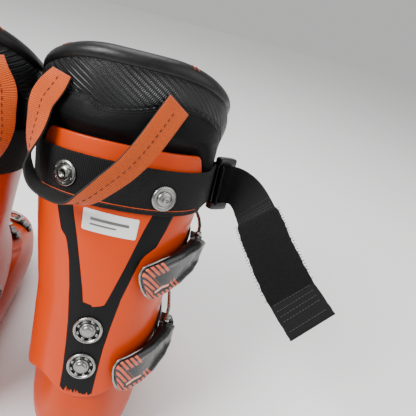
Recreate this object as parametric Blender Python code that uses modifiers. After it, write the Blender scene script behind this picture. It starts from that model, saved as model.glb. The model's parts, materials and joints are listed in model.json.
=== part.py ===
"""Pair of four-buckle alpine ski boots: shells, cuffs, liners, buckles, straps and pull loops.

Each boot is drawn in its own frame in millimetres: u points outward (away from the other boot),
v forward from the back of the heel, z up. The right boot stands at -X and the left one is its
mirror image; both toes point to -Y. Shaft heights s run along the 14 degree lean of the cuff.
"""
import math

import bmesh
import bpy
from mathutils import Matrix, Vector

MM = 0.001

# Driving dimensions, in millimetres and degrees
HALF_SPACING = 74.0
HEEL_Y = 150.272
SOLE_LENGTH = 308.0
TOE_WIDTH = 69.0
HEEL_WIDTH = 70.0
SOLE_TOP = 18.7
SOLE_NOSE = 46.0
TOE_SOLE_BACK = 166.0
HEEL_SOLE_FRONT = 104.0
LEAN = math.radians(14.0)
CUFF_FOOT = Vector((2.0, 85.0))
SHELL_WALL = 4.0
CUFF_WALL = 4.0
FIT_GAP = 1.2
FLEX = math.radians(4.0)
SHAFT_UP = Vector((0.0, math.sin(LEAN), math.cos(LEAN)))
REARWARD = Vector((0.0, -math.cos(LEAN), math.sin(LEAN)))
COVER_MARGIN = 12.0
LINER_MARGIN = 26.0
COVER_REACH = 1.2
PIVOT = Vector((95.0, 95.0))
PIVOT_SHANK = 5.0
BOLT_SHANK = 3.5
BOLT_HEIGHTS = (34.6, 66.0)
STRAP_HEIGHT = 180.0
STRAP_WIDTH = 34.0
STRAP_THICK = 1.8
RING_INNER = (79.5, 82.0)
RING_OUTER = (92.5, 92.0)
RING_WIRE = 2.0
LOOP_WIDTH = 20.0
LOOP_THICK = 1.8
WIRE = 1.5
SHELL_SLIT = math.radians(10.0)
THROAT = math.radians(24.0)
THROAT_GAP = math.radians(1.4)
CUFF_EDGES = (math.radians(46.0), math.radians(388.0))

# Lower shell sections: height, back, front, widest point, half width, back and front roundness
SHELL = (
    (19.0, 0.0, 292.0, 190.0, 38.0, 3.2, 2.4),
    (28.0, 0.0, 298.0, 195.0, 47.0, 3.2, 2.4),
    (33.0, 4.0, 299.0, 195.0, 49.5, 3.2, 2.4),
    (45.0, 3.0, 300.0, 195.0, 52.0, 3.2, 2.3),
    (60.0, 3.0, 297.0, 195.0, 51.0, 3.0, 2.3),
    (72.0, 4.0, 272.0, 183.0, 48.5, 2.9, 2.3),
    (83.0, 6.5, 243.0, 165.0, 46.5, 2.8, 2.2),
    (94.0, 9.5, 219.0, 146.0, 46.0, 2.7, 2.2),
    (106.0, 13.0, 199.0, 128.0, 46.0, 2.6, 2.2),
    (120.0, 17.0, 182.0, 113.0, 46.5, 2.5, 2.2),
    (136.0, 21.0, 168.5, 102.0, 47.0, 2.4, 2.2),
    (150.0, 24.5, 158.0, 93.0, 47.0, 2.3, 2.2),
    (167.0, 29.0, 150.0, 88.0, 46.0, 2.3, 2.2),
)

# Shaft sections: height, half width, widest point, front, back and front roundness
SHAFT = (
    (-12.0, 53.0, 76.0, 215.0, 2.4, 2.5),
    (0.0, 53.0, 76.0, 215.0, 2.4, 2.5),
    (30.0, 53.0, 75.0, 208.0, 2.4, 2.5),
    (60.0, 53.5, 72.0, 197.0, 2.35, 2.5),
    (78.0, 54.0, 70.0, 179.0, 2.3, 2.4),
    (95.0, 56.0, 67.0, 156.0, 2.3, 2.3),
    (130.0, 61.0, 65.0, 140.0, 2.25, 2.2),
    (165.0, 65.5, 65.0, 136.0, 2.2, 2.2),
    (205.0, 69.0, 66.0, 134.0, 2.2, 2.2),
    (235.0, 72.5, 67.0, 136.0, 2.2, 2.2),
    (275.0, 70.0, 67.0, 134.0, 2.2, 2.2),
)

# Liner foot sections: back (v, z), front (v, z), widest point as a share, half width, wall
LINER_FOOT = (
    ((12.0, 34.0), (284.0, 31.0), 0.64, 40.0, 4.0),
    ((9.0, 44.0), (290.0, 42.0), 0.65, 45.5, 4.0),
    ((8.5, 60.0), (287.0, 59.0), 0.65, 46.0, 4.0),
    ((10.5, 74.0), (260.0, 71.0), 0.66, 43.5, 4.0),
    ((14.0, 88.0), (228.0, 82.0), 0.66, 39.0, 4.5),
    ((20.0, 105.0), (195.0, 95.0), 0.64, 37.5, 5.5),
    ((27.5, 128.0), (170.0, 111.0), 0.60, 37.0, 6.0),
    ((35.0, 152.0), (151.0, 127.0), 0.54, 37.0, 6.0),
)
THROAT_ROW = 4

# Levers: length, half width, height of the pin over the plastic, half width of the wire bail
CUFF_LEVER = (70.0, 15.0, 9.6, 17.6)
TOE_LEVER = (50.0, 10.2, 7.6, 12.5)
INSTEP_LEVER = (54.0, 10.2, 7.6, 12.5)

# Buckles on the cuff: number, lever tip, lever pin and hook bar as (height, degrees), lever
CUFF_BUCKLES = (
    (3, (31.0, 155.0), (49.0, 98.0), (87.0, 19.0), CUFF_LEVER),
    (4, (114.0, 144.0), (131.0, 94.0), (136.0, 16.0), CUFF_LEVER),
)

# Buckles over the foot: number, plane through (v, z) leaning back by degrees, angles round the
# plane's middle (0 at the top, 90 outward) of lever tip, pin and hook bar, lever
FOOT_BUCKLES = (
    (1, (240.0, 34.0), 14.0, (100.0, 50.0, -32.0), TOE_LEVER),
    (2, (186.0, 50.0), 26.0, (104.0, 60.0, -28.0), INSTEP_LEVER),
)

ORANGE = ((0.87, 0.10, 0.01, 1.0), 0.32, 0.0)
BLACK = ((0.015, 0.015, 0.017, 1.0), 0.45, 0.0)
RUBBER = ((0.02, 0.02, 0.02, 1.0), 0.75, 0.0)
LEATHER = ((0.03, 0.03, 0.033, 1.0), 0.6, 0.0)
WEBBING = ((0.05, 0.045, 0.045, 1.0), 0.85, 0.0)
STEEL = ((0.6, 0.6, 0.6, 1.0), 0.35, 1.0)


def smoothstep(low, high, value):
    share = min(max((value - low) / (high - low), 0.0), 1.0)
    return share * share * (3.0 - 2.0 * share)


def from_rear(theta):
    """Angle between theta and the rear of the boot, in degrees."""
    return abs((math.degrees(theta) - 180.0 + 180.0) % 360.0 - 180.0)


def signed_power(value, exponent):
    return math.copysign(abs(value) ** exponent, value)


def row_at(table, height):
    """Row of a table at any height, on a smooth curve through its own rows."""
    last = len(table) - 2
    at = 0
    while at < last and height > table[at + 1][0]:
        at += 1
    low, high = table[at], table[at + 1]
    before, after = table[max(at - 1, 0)], table[min(at + 2, last + 1)]
    span = high[0] - low[0]
    share = min(max((height - low[0]) / span, 0.0), 1.0)
    row = [height]
    for k in range(1, len(low)):
        rise = (high[k] - before[k]) / (high[0] - before[0]) * span
        fall = (after[k] - low[k]) / (after[0] - low[0]) * span
        bend = share * (1.0 - share)
        straight = low[k] + (high[k] - low[k]) * share
        step = high[k] - low[k]
        row.append(straight + bend * ((1.0 - share) * (rise - step) + share * (step - fall)))
    return row


class Section:
    """Superellipse between a back and a front point of the boot's middle plane."""

    def __init__(self, back, front, centre, half_width, n_back, n_front):
        self.axis = (Vector(front) - Vector(back)).normalized()
        self.centre = Vector(back).lerp(Vector(front), centre)
        self.back = (self.centre - Vector(back)).length
        self.front = (Vector(front) - self.centre).length
        self.half_width = half_width
        self.n_back = n_back
        self.n_front = n_front

    def point(self, theta, inset=0.0):
        along = math.cos(theta)
        reach = self.front if along > 0.0 else self.back
        power = 2.0 / (self.n_front if along > 0.0 else self.n_back)
        place = self.centre + self.axis * signed_power(along, power) * (reach - inset)
        across = signed_power(math.sin(theta), power) * (self.half_width - inset)
        return Vector((across, place.x, place.y))

    def angle(self, point):
        along = (Vector((point.y, point.z)) - self.centre).dot(self.axis)
        reach = self.front if along > 0.0 else self.back
        return math.atan2(point.x / self.half_width, along / reach)

    def size(self, point, inset=0.0):
        """Below 1 inside the section, above 1 outside it."""
        along = (Vector((point.y, point.z)) - self.centre).dot(self.axis)
        reach = self.front if along > 0.0 else self.back
        power = self.n_front if along > 0.0 else self.n_back
        total = abs(along / (reach - inset)) ** power + abs(point.x / (self.half_width - inset)) ** power
        return total ** (1.0 / power)

    def pull_inside(self, point, inset):
        size = self.size(point, inset)
        if size <= 1.0:
            return point
        along = (Vector((point.y, point.z)) - self.centre).dot(self.axis)
        shift = self.axis * along * (1.0 - 1.0 / size)
        return Vector((point.x / size, point.y - shift.x, point.z - shift.y))


def shaft_section(height):
    _, half_width, centre, front, n_back, n_front = row_at(SHAFT, height)
    back = CUFF_FOOT + Vector((math.sin(LEAN), math.cos(LEAN))) * height
    nose = back + Vector((math.cos(LEAN), -math.sin(LEAN))) * front
    return Section(back, nose, centre / front, half_width, n_back, n_front)


def shaft_height(point):
    return (point.y - CUFF_FOOT.x) * math.sin(LEAN) + (point.z - CUFF_FOOT.y) * math.cos(LEAN)


def shell_section(height):
    _, back, front, centre, half_width, n_back, n_front = row_at(SHELL, height)
    share = (centre - back) / (front - back)
    return Section((back, height), (front, height), share, half_width, n_back, n_front)


def cuff_bottom(theta):
    rear = from_rear(theta)
    dip = 11.0 * math.sin(math.pi * min(rear, 70.0) / 70.0) ** 2
    return 6.0 + dip + 76.0 * smoothstep(76.0, 168.0, rear)


def cuff_top(theta):
    return 209.0 - 22.0 * smoothstep(48.0, 66.0, from_rear(theta))


def tilt(point, angle):
    """Turn a point towards the toe about the ankle pivot."""
    forward = point.y - PIVOT.x
    up = point.z - PIVOT.y
    return Vector((
        point.x,
        PIVOT.x + forward * math.cos(angle) + up * math.sin(angle),
        PIVOT.y - forward * math.sin(angle) + up * math.cos(angle),
    ))


def inside_cuff(point, inset, margin=COVER_MARGIN):
    """Keep a point of the shell inside the cuff, upright and flexed forward."""
    for angle in (0.0, FLEX):
        place = tilt(point, -angle)
        height = shaft_height(place)
        if height < SHAFT[0][0]:
            continue
        section = shaft_section(height)
        covered = height > cuff_bottom(section.angle(place)) - margin
        if covered and section.size(place) < COVER_REACH:
            point = tilt(section.pull_inside(place, inset), angle)
    return point


def inside_shell(point, depth):
    """Keep a point of the liner inside the shell's wall, sideways and from above."""
    for rise, inset in ((0.0, SHELL_WALL + 1.8), (SHELL_WALL + 4.0, 0.0)):
        point = shell_section(point.z + rise).pull_inside(point, inset + depth)
    return point


def shell_surface(height, theta):
    return inside_cuff(shell_section(height).point(theta), CUFF_WALL + FIT_GAP)


def cuff_surface(height, theta, off=0.0):
    return shaft_section(height).point(theta, -off)


def shell_size(point):
    return shell_section(point.z).size(point)


def cuff_size(point):
    return shaft_section(shaft_height(point)).size(point)


def outward(size, point):
    """Unit normal of the surface that size describes."""
    step = 0.5
    slope = Vector()
    for axis in range(3):
        ahead = point.copy()
        ahead[axis] += step
        behind = point.copy()
        behind[axis] -= step
        slope[axis] = size(ahead) - size(behind)
    return slope.normalized()


def cast(size, origin, direction, far=140.0):
    """Where a ray from inside leaves the surface that size describes."""
    near = 0.0
    for _ in range(30):
        middle = (near + far) / 2.0
        if size(origin + direction * middle) < 1.0:
            near = middle
        else:
            far = middle
    return origin + direction * far


def liner_top(theta):
    """0 at the rear of the collar, 1 at its front."""
    return smoothstep(15.0, 140.0, from_rear(theta))


def liner_row(index, theta, deeper):
    """Point of the liner's surface on a row; deeper is 1 on its inner face."""
    if index < len(LINER_FOOT):
        back, front, centre, half_width, wall = LINER_FOOT[index]
        inset = deeper * wall
        point = Section(back, front, centre, half_width, 2.9, 2.3).point(theta, inset)
        room = CUFF_WALL + SHELL_WALL + 3.0 * FIT_GAP + inset
        if index == 0 and deeper:
            point.z += 5.0
        return inside_cuff(inside_shell(point, inset), room, LINER_MARGIN)
    shaft_rows = (
        (109.0, CUFF_WALL + SHELL_WALL + 11.0, 6.0),
        (133.0, CUFF_WALL + 1.6, 8.0),
        (160.0, CUFF_WALL + 1.4, 8.0),
        (cuff_top(theta) + 2.0, CUFF_WALL + 1.4, 8.0),
        (cuff_top(theta) + 10.0, 0.5, 11.0),
        (243.0 - 24.0 * liner_top(theta), 0.0, 11.0),
        (264.0 - 30.0 * liner_top(theta), 1.0, 9.0),
        (271.0 - 32.0 * liner_top(theta), 4.5, 3.0),
    )
    height, inset, wall = shaft_rows[index - len(LINER_FOOT)]
    return shaft_section(height).point(theta, inset + deeper * wall)


LINER_ROWS = len(LINER_FOOT) + 8


def liner_point(row, theta, deeper):
    low = min(int(row), LINER_ROWS - 2)
    return liner_row(low, theta, deeper).lerp(liner_row(low + 1, theta, deeper), row - low)


class Boot:
    """Places boot-frame shapes in the world and names them for one side."""

    def __init__(self, side):
        self.side = side
        self.sign = -1.0 if side == "right" else 1.0
        self.matrix = Matrix((
            (self.sign * MM, 0.0, 0.0, self.sign * HALF_SPACING * MM),
            (0.0, -MM, 0.0, HEEL_Y * MM),
            (0.0, 0.0, MM, 0.0),
            (0.0, 0.0, 0.0, 1.0),
        ))

    def world(self, point):
        return self.matrix @ Vector(point)

    def direction(self, vector):
        return (self.matrix.to_3x3() @ Vector(vector)).normalized()

    def axis(self, vector):
        """Rotation axis in the world; a mirrored boot turns the other way about it."""
        return self.direction(vector) * -self.sign


def material(name, look):
    shade = bpy.data.materials.get(name)
    if shade:
        return shade
    color, roughness, metallic = look
    shade = bpy.data.materials.new(name)
    shade.use_nodes = True
    shade.diffuse_color = color
    surface = shade.node_tree.nodes["Principled BSDF"]
    surface.inputs["Base Color"].default_value = color
    surface.inputs["Roughness"].default_value = roughness
    surface.inputs["Metallic"].default_value = metallic
    return shade


def collection(name):
    found = bpy.data.collections.get(name)
    if not found:
        found = bpy.data.collections.new(name)
        bpy.context.scene.collection.children.link(found)
    return found


def add_object(boot, name, data, look, origin=None):
    """Object with its origin at a boot-frame point; its data is already in the world."""
    obj = bpy.data.objects.new(f"{boot.side}_{name}", data)
    if origin is not None:
        place = boot.world(origin)
        data.transform(Matrix.Translation(-place))
        obj.location = place
    collection("ski_boots").objects.link(obj)
    data.materials.append(material(name.rstrip("_1234") or name, look))
    return obj


def solid(boot, name, bm, look, origin=None, smooth=True):
    """Object from a boot-frame bmesh, turned the right way out for its side."""
    bm.transform(boot.matrix)
    if boot.sign > 0.0:
        bmesh.ops.reverse_faces(bm, faces=bm.faces)
    data = bpy.data.meshes.new(name)
    bm.to_mesh(data)
    bm.free()
    if smooth:
        data.shade_smooth()
        data.set_sharp_from_angle(angle=math.radians(38.0))
    return add_object(boot, name, data, look, origin)


def boolean(boot, target, bm, operation):
    tool = solid(boot, f"guide_{target.name}", bm, BLACK)
    collection("ski_boots").objects.unlink(tool)
    collection("guides").objects.link(tool)
    tool.hide_render = True
    tool.display_type = "WIRE"
    change = target.modifiers.new(operation.lower(), "BOOLEAN")
    change.operation = operation
    change.object = tool


def thick_grid(outer, inner, cells, closed, floor=False):
    """Solid between two vertex grids, on the listed cells, with rims along their edges."""
    bm = bmesh.new()
    faces = [[bm.verts.new(p) for p in row] for row in outer]
    backs = [[bm.verts.new(p) for p in row] for row in inner]
    columns = len(outer[0])
    edges = {}
    for i, j in cells:
        right = (j + 1) % columns if closed else j + 1
        loop = ((i, j), (i, right), (i + 1, right), (i + 1, j))
        bm.faces.new([faces[a][b] for a, b in loop])
        bm.faces.new([backs[a][b] for a, b in reversed(loop)])
        for k in range(4):
            a, b = loop[k], loop[(k + 1) % 4]
            if (b, a) in edges:
                del edges[(b, a)]
            else:
                edges[(a, b)] = True
    for a, b in edges:
        if floor and a[0] == 0 and b[0] == 0:
            continue
        bm.faces.new([faces[b[0]][b[1]], faces[a[0]][a[1]], backs[a[0]][a[1]], backs[b[0]][b[1]]])
    if floor:
        for ring, flip in ((faces[0], True), (backs[0], False)):
            middle = sum((v.co for v in ring), Vector()) / len(ring)
            hub = bm.verts.new(middle)
            for k, vert in enumerate(ring):
                after = ring[(k + 1) % columns]
                bm.faces.new((hub, after, vert) if flip else (hub, vert, after))
    loose = [v for v in bm.verts if not v.link_faces]
    bmesh.ops.delete(bm, geom=loose, context="VERTS")
    bmesh.ops.recalc_face_normals(bm, faces=bm.faces)
    return bm


def loft(rings):
    """Closed solid through rings of the same number of points, with flat ends."""
    bm = bmesh.new()
    loops = [[bm.verts.new(p) for p in ring] for ring in rings]
    count = len(loops[0])
    for low, high in zip(loops, loops[1:]):
        for k in range(count):
            after = (k + 1) % count
            bm.faces.new((low[k], low[after], high[after], high[k]))
    bm.faces.new(list(reversed(loops[0])))
    bm.faces.new(loops[-1])
    bmesh.ops.recalc_face_normals(bm, faces=bm.faces)
    return bm


def rod(start, end, radius, sides=10):
    """Cylinder between two boot-frame points."""
    bm = bmesh.new()
    start = Vector(start)
    end = Vector(end)
    length = (end - start).length
    bmesh.ops.create_cone(
        bm, cap_ends=True, segments=sides, radius1=radius, radius2=radius, depth=length)
    turn = Vector((0.0, 0.0, 1.0)).rotation_difference(end - start).to_matrix().to_4x4()
    bm.transform(Matrix.Translation((start + end) / 2.0) @ turn)
    return bm


def turned(boot, name, profile, look, origin, axis, steps=12):
    """Turned piece: profile of (radius, height), with its height along an axis."""
    data = bpy.data.meshes.new(name)
    points = [(radius * MM, 0.0, height * MM) for radius, height in profile]
    data.from_pydata(points, [(k, k + 1) for k in range(len(points) - 1)], [])
    obj = add_object(boot, name, data, look)
    obj.location = boot.world(origin)
    obj.rotation_mode = "QUATERNION"
    obj.rotation_quaternion = Vector((0.0, 0.0, 1.0)).rotation_difference(boot.direction(axis))
    screw = obj.modifiers.new("turn", "SCREW")
    screw.steps = steps
    screw.render_steps = steps
    screw.use_merge_vertices = True
    screw.merge_threshold = 0.00001
    screw.use_smooth_shade = True
    return obj


def spread(start, end, count):
    return [start + (end - start) * k / (count - 1) for k in range(count)]


def cell_grid(rows, columns):
    return [(i, j) for i in range(rows) for j in range(columns)]


# ---- shell, cuff, soles and liner

def build_shell(boot):
    angles = spread(SHELL_SLIT, math.tau - SHELL_SLIT, 30) + [0.0]
    heights = [row[0] for row in SHELL]
    rim_rear, rim_front = 167.0, 150.0

    def height_at(row, theta):
        rim = rim_front + (rim_rear - rim_front) * (1.0 - smoothstep(40.0, 75.0, from_rear(theta)))
        if row == len(heights) - 1:
            return rim
        return min(heights[row], rim - 6.0)

    rows = len(heights)
    outer = [[shell_surface(height_at(i, t), t) for t in angles] for i in range(rows)]
    floor = shell_section(SHELL[0][0] + SHELL_WALL)
    inner = [[floor.point(theta, SHELL_WALL) for theta in angles]]
    for i in range(1, rows):
        row = []
        for k, theta in enumerate(angles):
            place = outer[i][k]
            height = height_at(i, theta)
            rise = shell_surface(height + 3.0, theta) - shell_surface(height - 3.0, theta)
            turn = shell_surface(height, theta + 0.05) - shell_surface(height, theta - 0.05)
            row.append(place - rise.cross(turn).normalized() * SHELL_WALL)
        inner.append(row)
    slit_row = 7
    last = len(angles) - 1
    cells = [(i, j) for i, j in cell_grid(rows - 1, last + 1) if i < slit_row or j < last - 1]
    shell = solid(boot, "lower_shell", thick_grid(outer, inner, cells, True, floor=True), ORANGE)
    travel = (PIVOT.x - 10.0) * math.sin(FLEX)
    for height in BOLT_HEIGHTS:
        place = shaft_section(height).point(math.pi)
        rings = []
        for depth in (-6.0, 24.0):
            ring = []
            for k in range(14):
                turn = math.tau * k / 14.0
                lift = math.sin(turn) * (BOLT_SHANK + 1.0)
                lift += travel + 0.6 if math.sin(turn) > 0.01 else 0.0
                across = math.cos(turn) * (BOLT_SHANK + 0.8)
                ring.append(place - REARWARD * depth + SHAFT_UP * lift + Vector((across, 0.0, 0.0)))
            rings.append(ring)
        boolean(boot, shell, loft(rings), "DIFFERENCE")
    hole = rod((-80.0, *PIVOT), (80.0, *PIVOT), PIVOT_SHANK + 0.35, 14)
    boolean(boot, shell, hole, "DIFFERENCE")


def build_cuff(boot):
    angles = spread(*CUFF_EDGES, 30)
    shares = (0.0, 0.08, 0.18, 0.3, 0.46, 0.64, 0.82, 1.0)

    def height_at(share, theta):
        low = cuff_bottom(theta)
        return low + (cuff_top(theta) - low) * share

    outer = [[cuff_surface(height_at(f, t), t) for t in angles] for f in shares]
    inner = [[cuff_surface(height_at(f, t), t, -CUFF_WALL) for t in angles] for f in shares]
    cells = cell_grid(len(shares) - 1, len(angles) - 1)
    pivot = (0.0, *PIVOT)
    cuff = solid(boot, "cuff", thick_grid(outer, inner, cells, False), ORANGE, pivot)
    hole = rod((-80.0, *PIVOT), (80.0, *PIVOT), PIVOT_SHANK + 0.35, 14)
    boolean(boot, cuff, hole, "DIFFERENCE")
    for height in BOLT_HEIGHTS:
        place = shaft_section(height).point(math.pi)
        hole = rod(place - REARWARD * 16.0, place + REARWARD * 10.0, BOLT_SHANK + 0.35, 12)
        boolean(boot, cuff, hole, "DIFFERENCE")


def build_bootboard(boot):
    angles = spread(0.0, math.tau * 23 / 24, 24)
    bottom = SHELL[0][0] + SHELL_WALL + 0.4
    rings = []
    for share in (0.0, 1.0):
        ring = []
        for theta in angles:
            point = shell_section(bottom).point(theta, SHELL_WALL + 1.6)
            point = shell_section(33.0).pull_inside(point, SHELL_WALL + 1.6)
            top = 33.0 - 3.5 * smoothstep(60.0, 230.0, point.y)
            point.z = bottom + (top - bottom) * share
            ring.append(point)
        rings.append(ring)
    solid(boot, "bootboard", loft(rings), RUBBER)


def sole_nose(end, direction, half_width, power):
    """Rounded end of a sole, as a superellipse that points along direction (1 or -1)."""
    points = []
    for theta in spread(-90.0, 90.0, 11):
        along = math.cos(math.radians(theta)) ** (2.0 / power)
        across = signed_power(math.sin(math.radians(theta)), 2.0 / power)
        points.append((half_width * across * direction, end - SOLE_NOSE * (1.0 - along) * direction))
    return points


def build_soles(boot):
    half_toe, half_heel = TOE_WIDTH / 2.0, HEEL_WIDTH / 2.0
    toe = sole_nose(SOLE_LENGTH, 1.0, half_toe, 2.6) + [(half_toe, TOE_SOLE_BACK), (-half_toe, TOE_SOLE_BACK)]
    heel = sole_nose(0.0, -1.0, half_heel, 2.8) + [(-half_heel, HEEL_SOLE_FRONT), (half_heel, HEEL_SOLE_FRONT)]
    for name, outline in (("toe_sole", toe), ("heel_sole", heel)):
        rings = [[Vector((u, v, z)) for u, v in outline] for z in (0.0, SOLE_TOP)]
        solid(boot, name, loft(rings), RUBBER)


def build_liner(boot):
    edge = THROAT + THROAT_GAP
    angles = spread(edge, math.tau - edge, 22) + [0.0]
    rows = range(LINER_ROWS)
    outer = [[liner_row(i, t, 0.0) for t in angles] for i in rows]
    inner = [[liner_row(i, t, 1.0) for t in angles] for i in rows]
    last = len(angles) - 1
    cells = [(i, j) for i, j in cell_grid(LINER_ROWS - 1, last + 1) if i < THROAT_ROW or j < last - 1]
    solid(boot, "liner", thick_grid(outer, inner, cells, True, floor=True), LEATHER)
    angles = spread(THROAT, -THROAT, 5)
    rows = [THROAT_ROW + 0.15] + list(range(THROAT_ROW + 1, LINER_ROWS - 1)) + [LINER_ROWS - 1.0]
    outer = [[liner_point(r, t, 0.0) for t in reversed(angles)] for r in rows]
    inner = [[liner_point(r, t, 1.0) for t in reversed(angles)] for r in rows]
    cells = cell_grid(len(rows) - 1, len(angles) - 1)
    solid(boot, "liner_tongue", thick_grid(outer, inner, cells, False), LEATHER)


def build_fasteners(boot):
    half = shaft_section(shaft_height(Vector((0.0, *PIVOT)))).half_width
    head = ((0.0, 1.0), (3.0, 1.0), (3.0, 2.6), (8.6, 2.6), (10.5, 1.4), (10.5, 0.0))
    for side, turn in (("lateral", 1.0), ("medial", -1.0)):
        origin = Vector((turn * (half + 0.3), *PIVOT))
        profile = head + ((PIVOT_SHANK, 0.0), (PIVOT_SHANK, -9.5), (0.0, -9.5))
        turned(boot, f"ankle_pivot_{side}", profile, STEEL, origin, (turn, 0.0, 0.0))
    head = ((0.0, 1.4), (2.6, 1.4), (2.6, 4.0), (5.6, 4.0), (6.4, 1.7), (10.8, 1.3), (10.8, 0.0))
    for name, height in zip(("lower", "upper"), BOLT_HEIGHTS):
        place = shaft_section(height).point(math.pi)
        reach = CUFF_WALL + FIT_GAP + 1.8 + max(place.z - PIVOT.y, 0.0) * math.sin(FLEX)
        profile = head + ((BOLT_SHANK, 0.0), (BOLT_SHANK, -reach), (0.0, -reach))
        turned(boot, f"spine_bolt_{name}", profile, STEEL, place + REARWARD * 0.5, REARWARD)


# ---- strap, ring and pull loop

def plan_point(u, w, height):
    """Point of the shaft from its plan coordinates at a shaft height."""
    place = CUFF_FOOT + Vector((math.sin(LEAN), math.cos(LEAN))) * height
    place += Vector((math.cos(LEAN), -math.sin(LEAN))) * w
    return Vector((u, place.x, place.y))


def ribbon(points, widths, thick):
    """Flat band along points, with a width vector at each."""
    rings = []
    for k, (point, width) in enumerate(zip(points, widths)):
        ahead = points[min(k + 1, len(points) - 1)] - points[max(k - 1, 0)]
        face = ahead.cross(width).normalized() * thick / 2.0
        half = width / 2.0
        rings.append([point - half - face, point + half - face, point + half + face, point - half + face])
    bm = loft(rings)
    bmesh.ops.triangulate(bm, faces=bm.faces)
    return bm


def arc(centre, radius, start, end, count):
    return [
        (centre[0] + radius * math.cos(math.radians(a)), centre[1] + radius * math.sin(math.radians(a)))
        for a in spread(start, end, count)
    ]


def build_strap(boot):
    """One strap: sewn eye round the ring's inner bar, round the cuff, through the ring, free tail."""
    layer = RING_WIRE + 0.4 + STRAP_THICK / 2.0
    lift = 1.1 + STRAP_THICK / 2.0
    eye = [(RING_INNER[0] + 2.6, RING_INNER[1] - 13.0)]
    eye += arc(RING_INNER, layer, 10.0, 190.0, 7)
    points = [plan_point(u, w, STRAP_HEIGHT) for u, w in eye]
    widths = [SHAFT_UP * STRAP_WIDTH] * len(points)
    for angle in spread(101.0, 405.0, 33):
        low, high = (
            cuff_surface(STRAP_HEIGHT + edge * STRAP_WIDTH / 2.0, math.radians(angle), lift)
            for edge in (-1.0, 1.0))
        points.append((low + high) / 2.0)
        widths.append((high - low).normalized() * STRAP_WIDTH)
    window = [(a + b) / 2.0 for a, b in zip(RING_INNER, RING_OUTER)]
    entry = [(window[0] - 10.0, window[1] + 11.5), tuple(window)]
    points += [plan_point(u, w, STRAP_HEIGHT) for u, w in entry]
    widths += [SHAFT_UP * STRAP_WIDTH] * len(entry)
    tail = (
        ((98.0, 82.0), 181.0, -7.0), ((106.0, 70.0), 178.0, -22.0), ((110.5, 53.5), 172.5, -37.0),
        ((114.5, 34.7), 165.0, -46.0), ((119.5, 16.6), 155.0, -46.0), ((126.5, 0.0), 144.0, -42.0),
        ((135.5, -15.0), 132.0, -37.0), ((145.0, -26.3), 122.5, -33.0), ((152.7, -34.8), 115.0, -31.0),
    )
    points += [plan_point(u, w, height) for (u, w), height, _ in tail]
    for k, (_, _, lean) in enumerate(tail):
        at = len(points) - len(tail) + k
        ahead = (points[min(at + 1, len(points) - 1)] - points[at - 1]).normalized()
        flat = (SHAFT_UP - ahead * SHAFT_UP.dot(ahead)).normalized()
        width = flat * math.cos(math.radians(lean)) + ahead.cross(flat) * math.sin(math.radians(lean))
        widths.append(width * STRAP_WIDTH)
    solid(boot, "power_strap", ribbon(points, widths, STRAP_THICK), WEBBING)


def wire_loop(boot, name, points, radius, look, origin, resolution=1):
    """Closed wire through boot-frame points."""
    curve = bpy.data.curves.new(name, "CURVE")
    curve.dimensions = "3D"
    curve.bevel_depth = radius * MM
    curve.bevel_resolution = resolution
    spline = curve.splines.new("POLY")
    spline.points.add(len(points) - 1)
    spline.use_cyclic_u = True
    place = boot.world(origin)
    for target, point in zip(spline.points, points):
        target.co = (*(boot.world(point) - place), 1.0)
    obj = bpy.data.objects.new(f"{boot.side}_{name}", curve)
    obj.location = place
    collection("ski_boots").objects.link(obj)
    curve.materials.append(material(name.rstrip("_1234"), look))
    return obj


def rounded_loop(corners, radius, count=3):
    """Closed polyline with its corners cut by short arcs."""
    points = []
    for k, corner in enumerate(corners):
        before = (corners[k - 1] - corner).normalized() * radius
        after = (corners[(k + 1) % len(corners)] - corner).normalized() * radius
        for share in spread(0.0, 1.0, count):
            points.append(
                corner + before * (1.0 - share) ** 2 + after * share ** 2)
    return points


def build_ring(boot):
    half = STRAP_WIDTH / 2.0 + RING_WIRE + 0.5
    inner = plan_point(*RING_INNER, STRAP_HEIGHT)
    outer = plan_point(*RING_OUTER, STRAP_HEIGHT)
    corners = [inner - SHAFT_UP * half, outer - SHAFT_UP * half, outer + SHAFT_UP * half, inner + SHAFT_UP * half]
    points = rounded_loop(corners, 3.5)
    wire_loop(boot, "strap_ring", points, RING_WIRE, BLACK, (inner + outer) / 2.0)


def build_pull_loop(boot):
    """Webbing loop sewn to the back of the collar, hanging over the cuff's rear edge."""
    route = (
        (221.0, 246.0, 1.6, 0.0), (222.5, 237.0, 5.6, 14.0), (227.0, 226.0, 8.5, 20.0),
        (228.5, 213.0, 10.5, 12.0), (230.0, 199.0, 12.5, -4.0), (228.5, 186.0, 14.5, -30.0),
        (223.5, 175.5, 16.5, -56.0), (213.0, 168.5, 18.0, -80.0), (199.0, 165.5, 18.0, -82.0),
        (191.0, 171.5, 17.5, -58.0), (184.0, 183.0, 16.5, -42.0), (177.5, 197.0, 14.5, -28.0),
        (171.5, 212.0, 11.0, -16.0), (165.5, 228.0, 6.5, -7.0), (158.5, 243.0, 1.6, 0.0),
    )
    points = [cuff_surface(s, math.radians(a), off) for a, s, off, _ in route]
    widths = []
    for k, (angle, height, off, lean) in enumerate(route):
        ahead = (points[min(k + 1, len(points) - 1)] - points[max(k - 1, 0)]).normalized()
        out = cuff_surface(height, math.radians(angle), off + 1.0) - points[k]
        out = (out - ahead * out.dot(ahead)).normalized()
        flat = ahead.cross(out)
        width = flat * math.cos(math.radians(lean)) + out * math.sin(math.radians(lean))
        widths.append(width * LOOP_WIDTH)
    solid(boot, "rear_pull_loop", ribbon(points, widths, LOOP_THICK), WEBBING)


# ---- buckles

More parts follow.
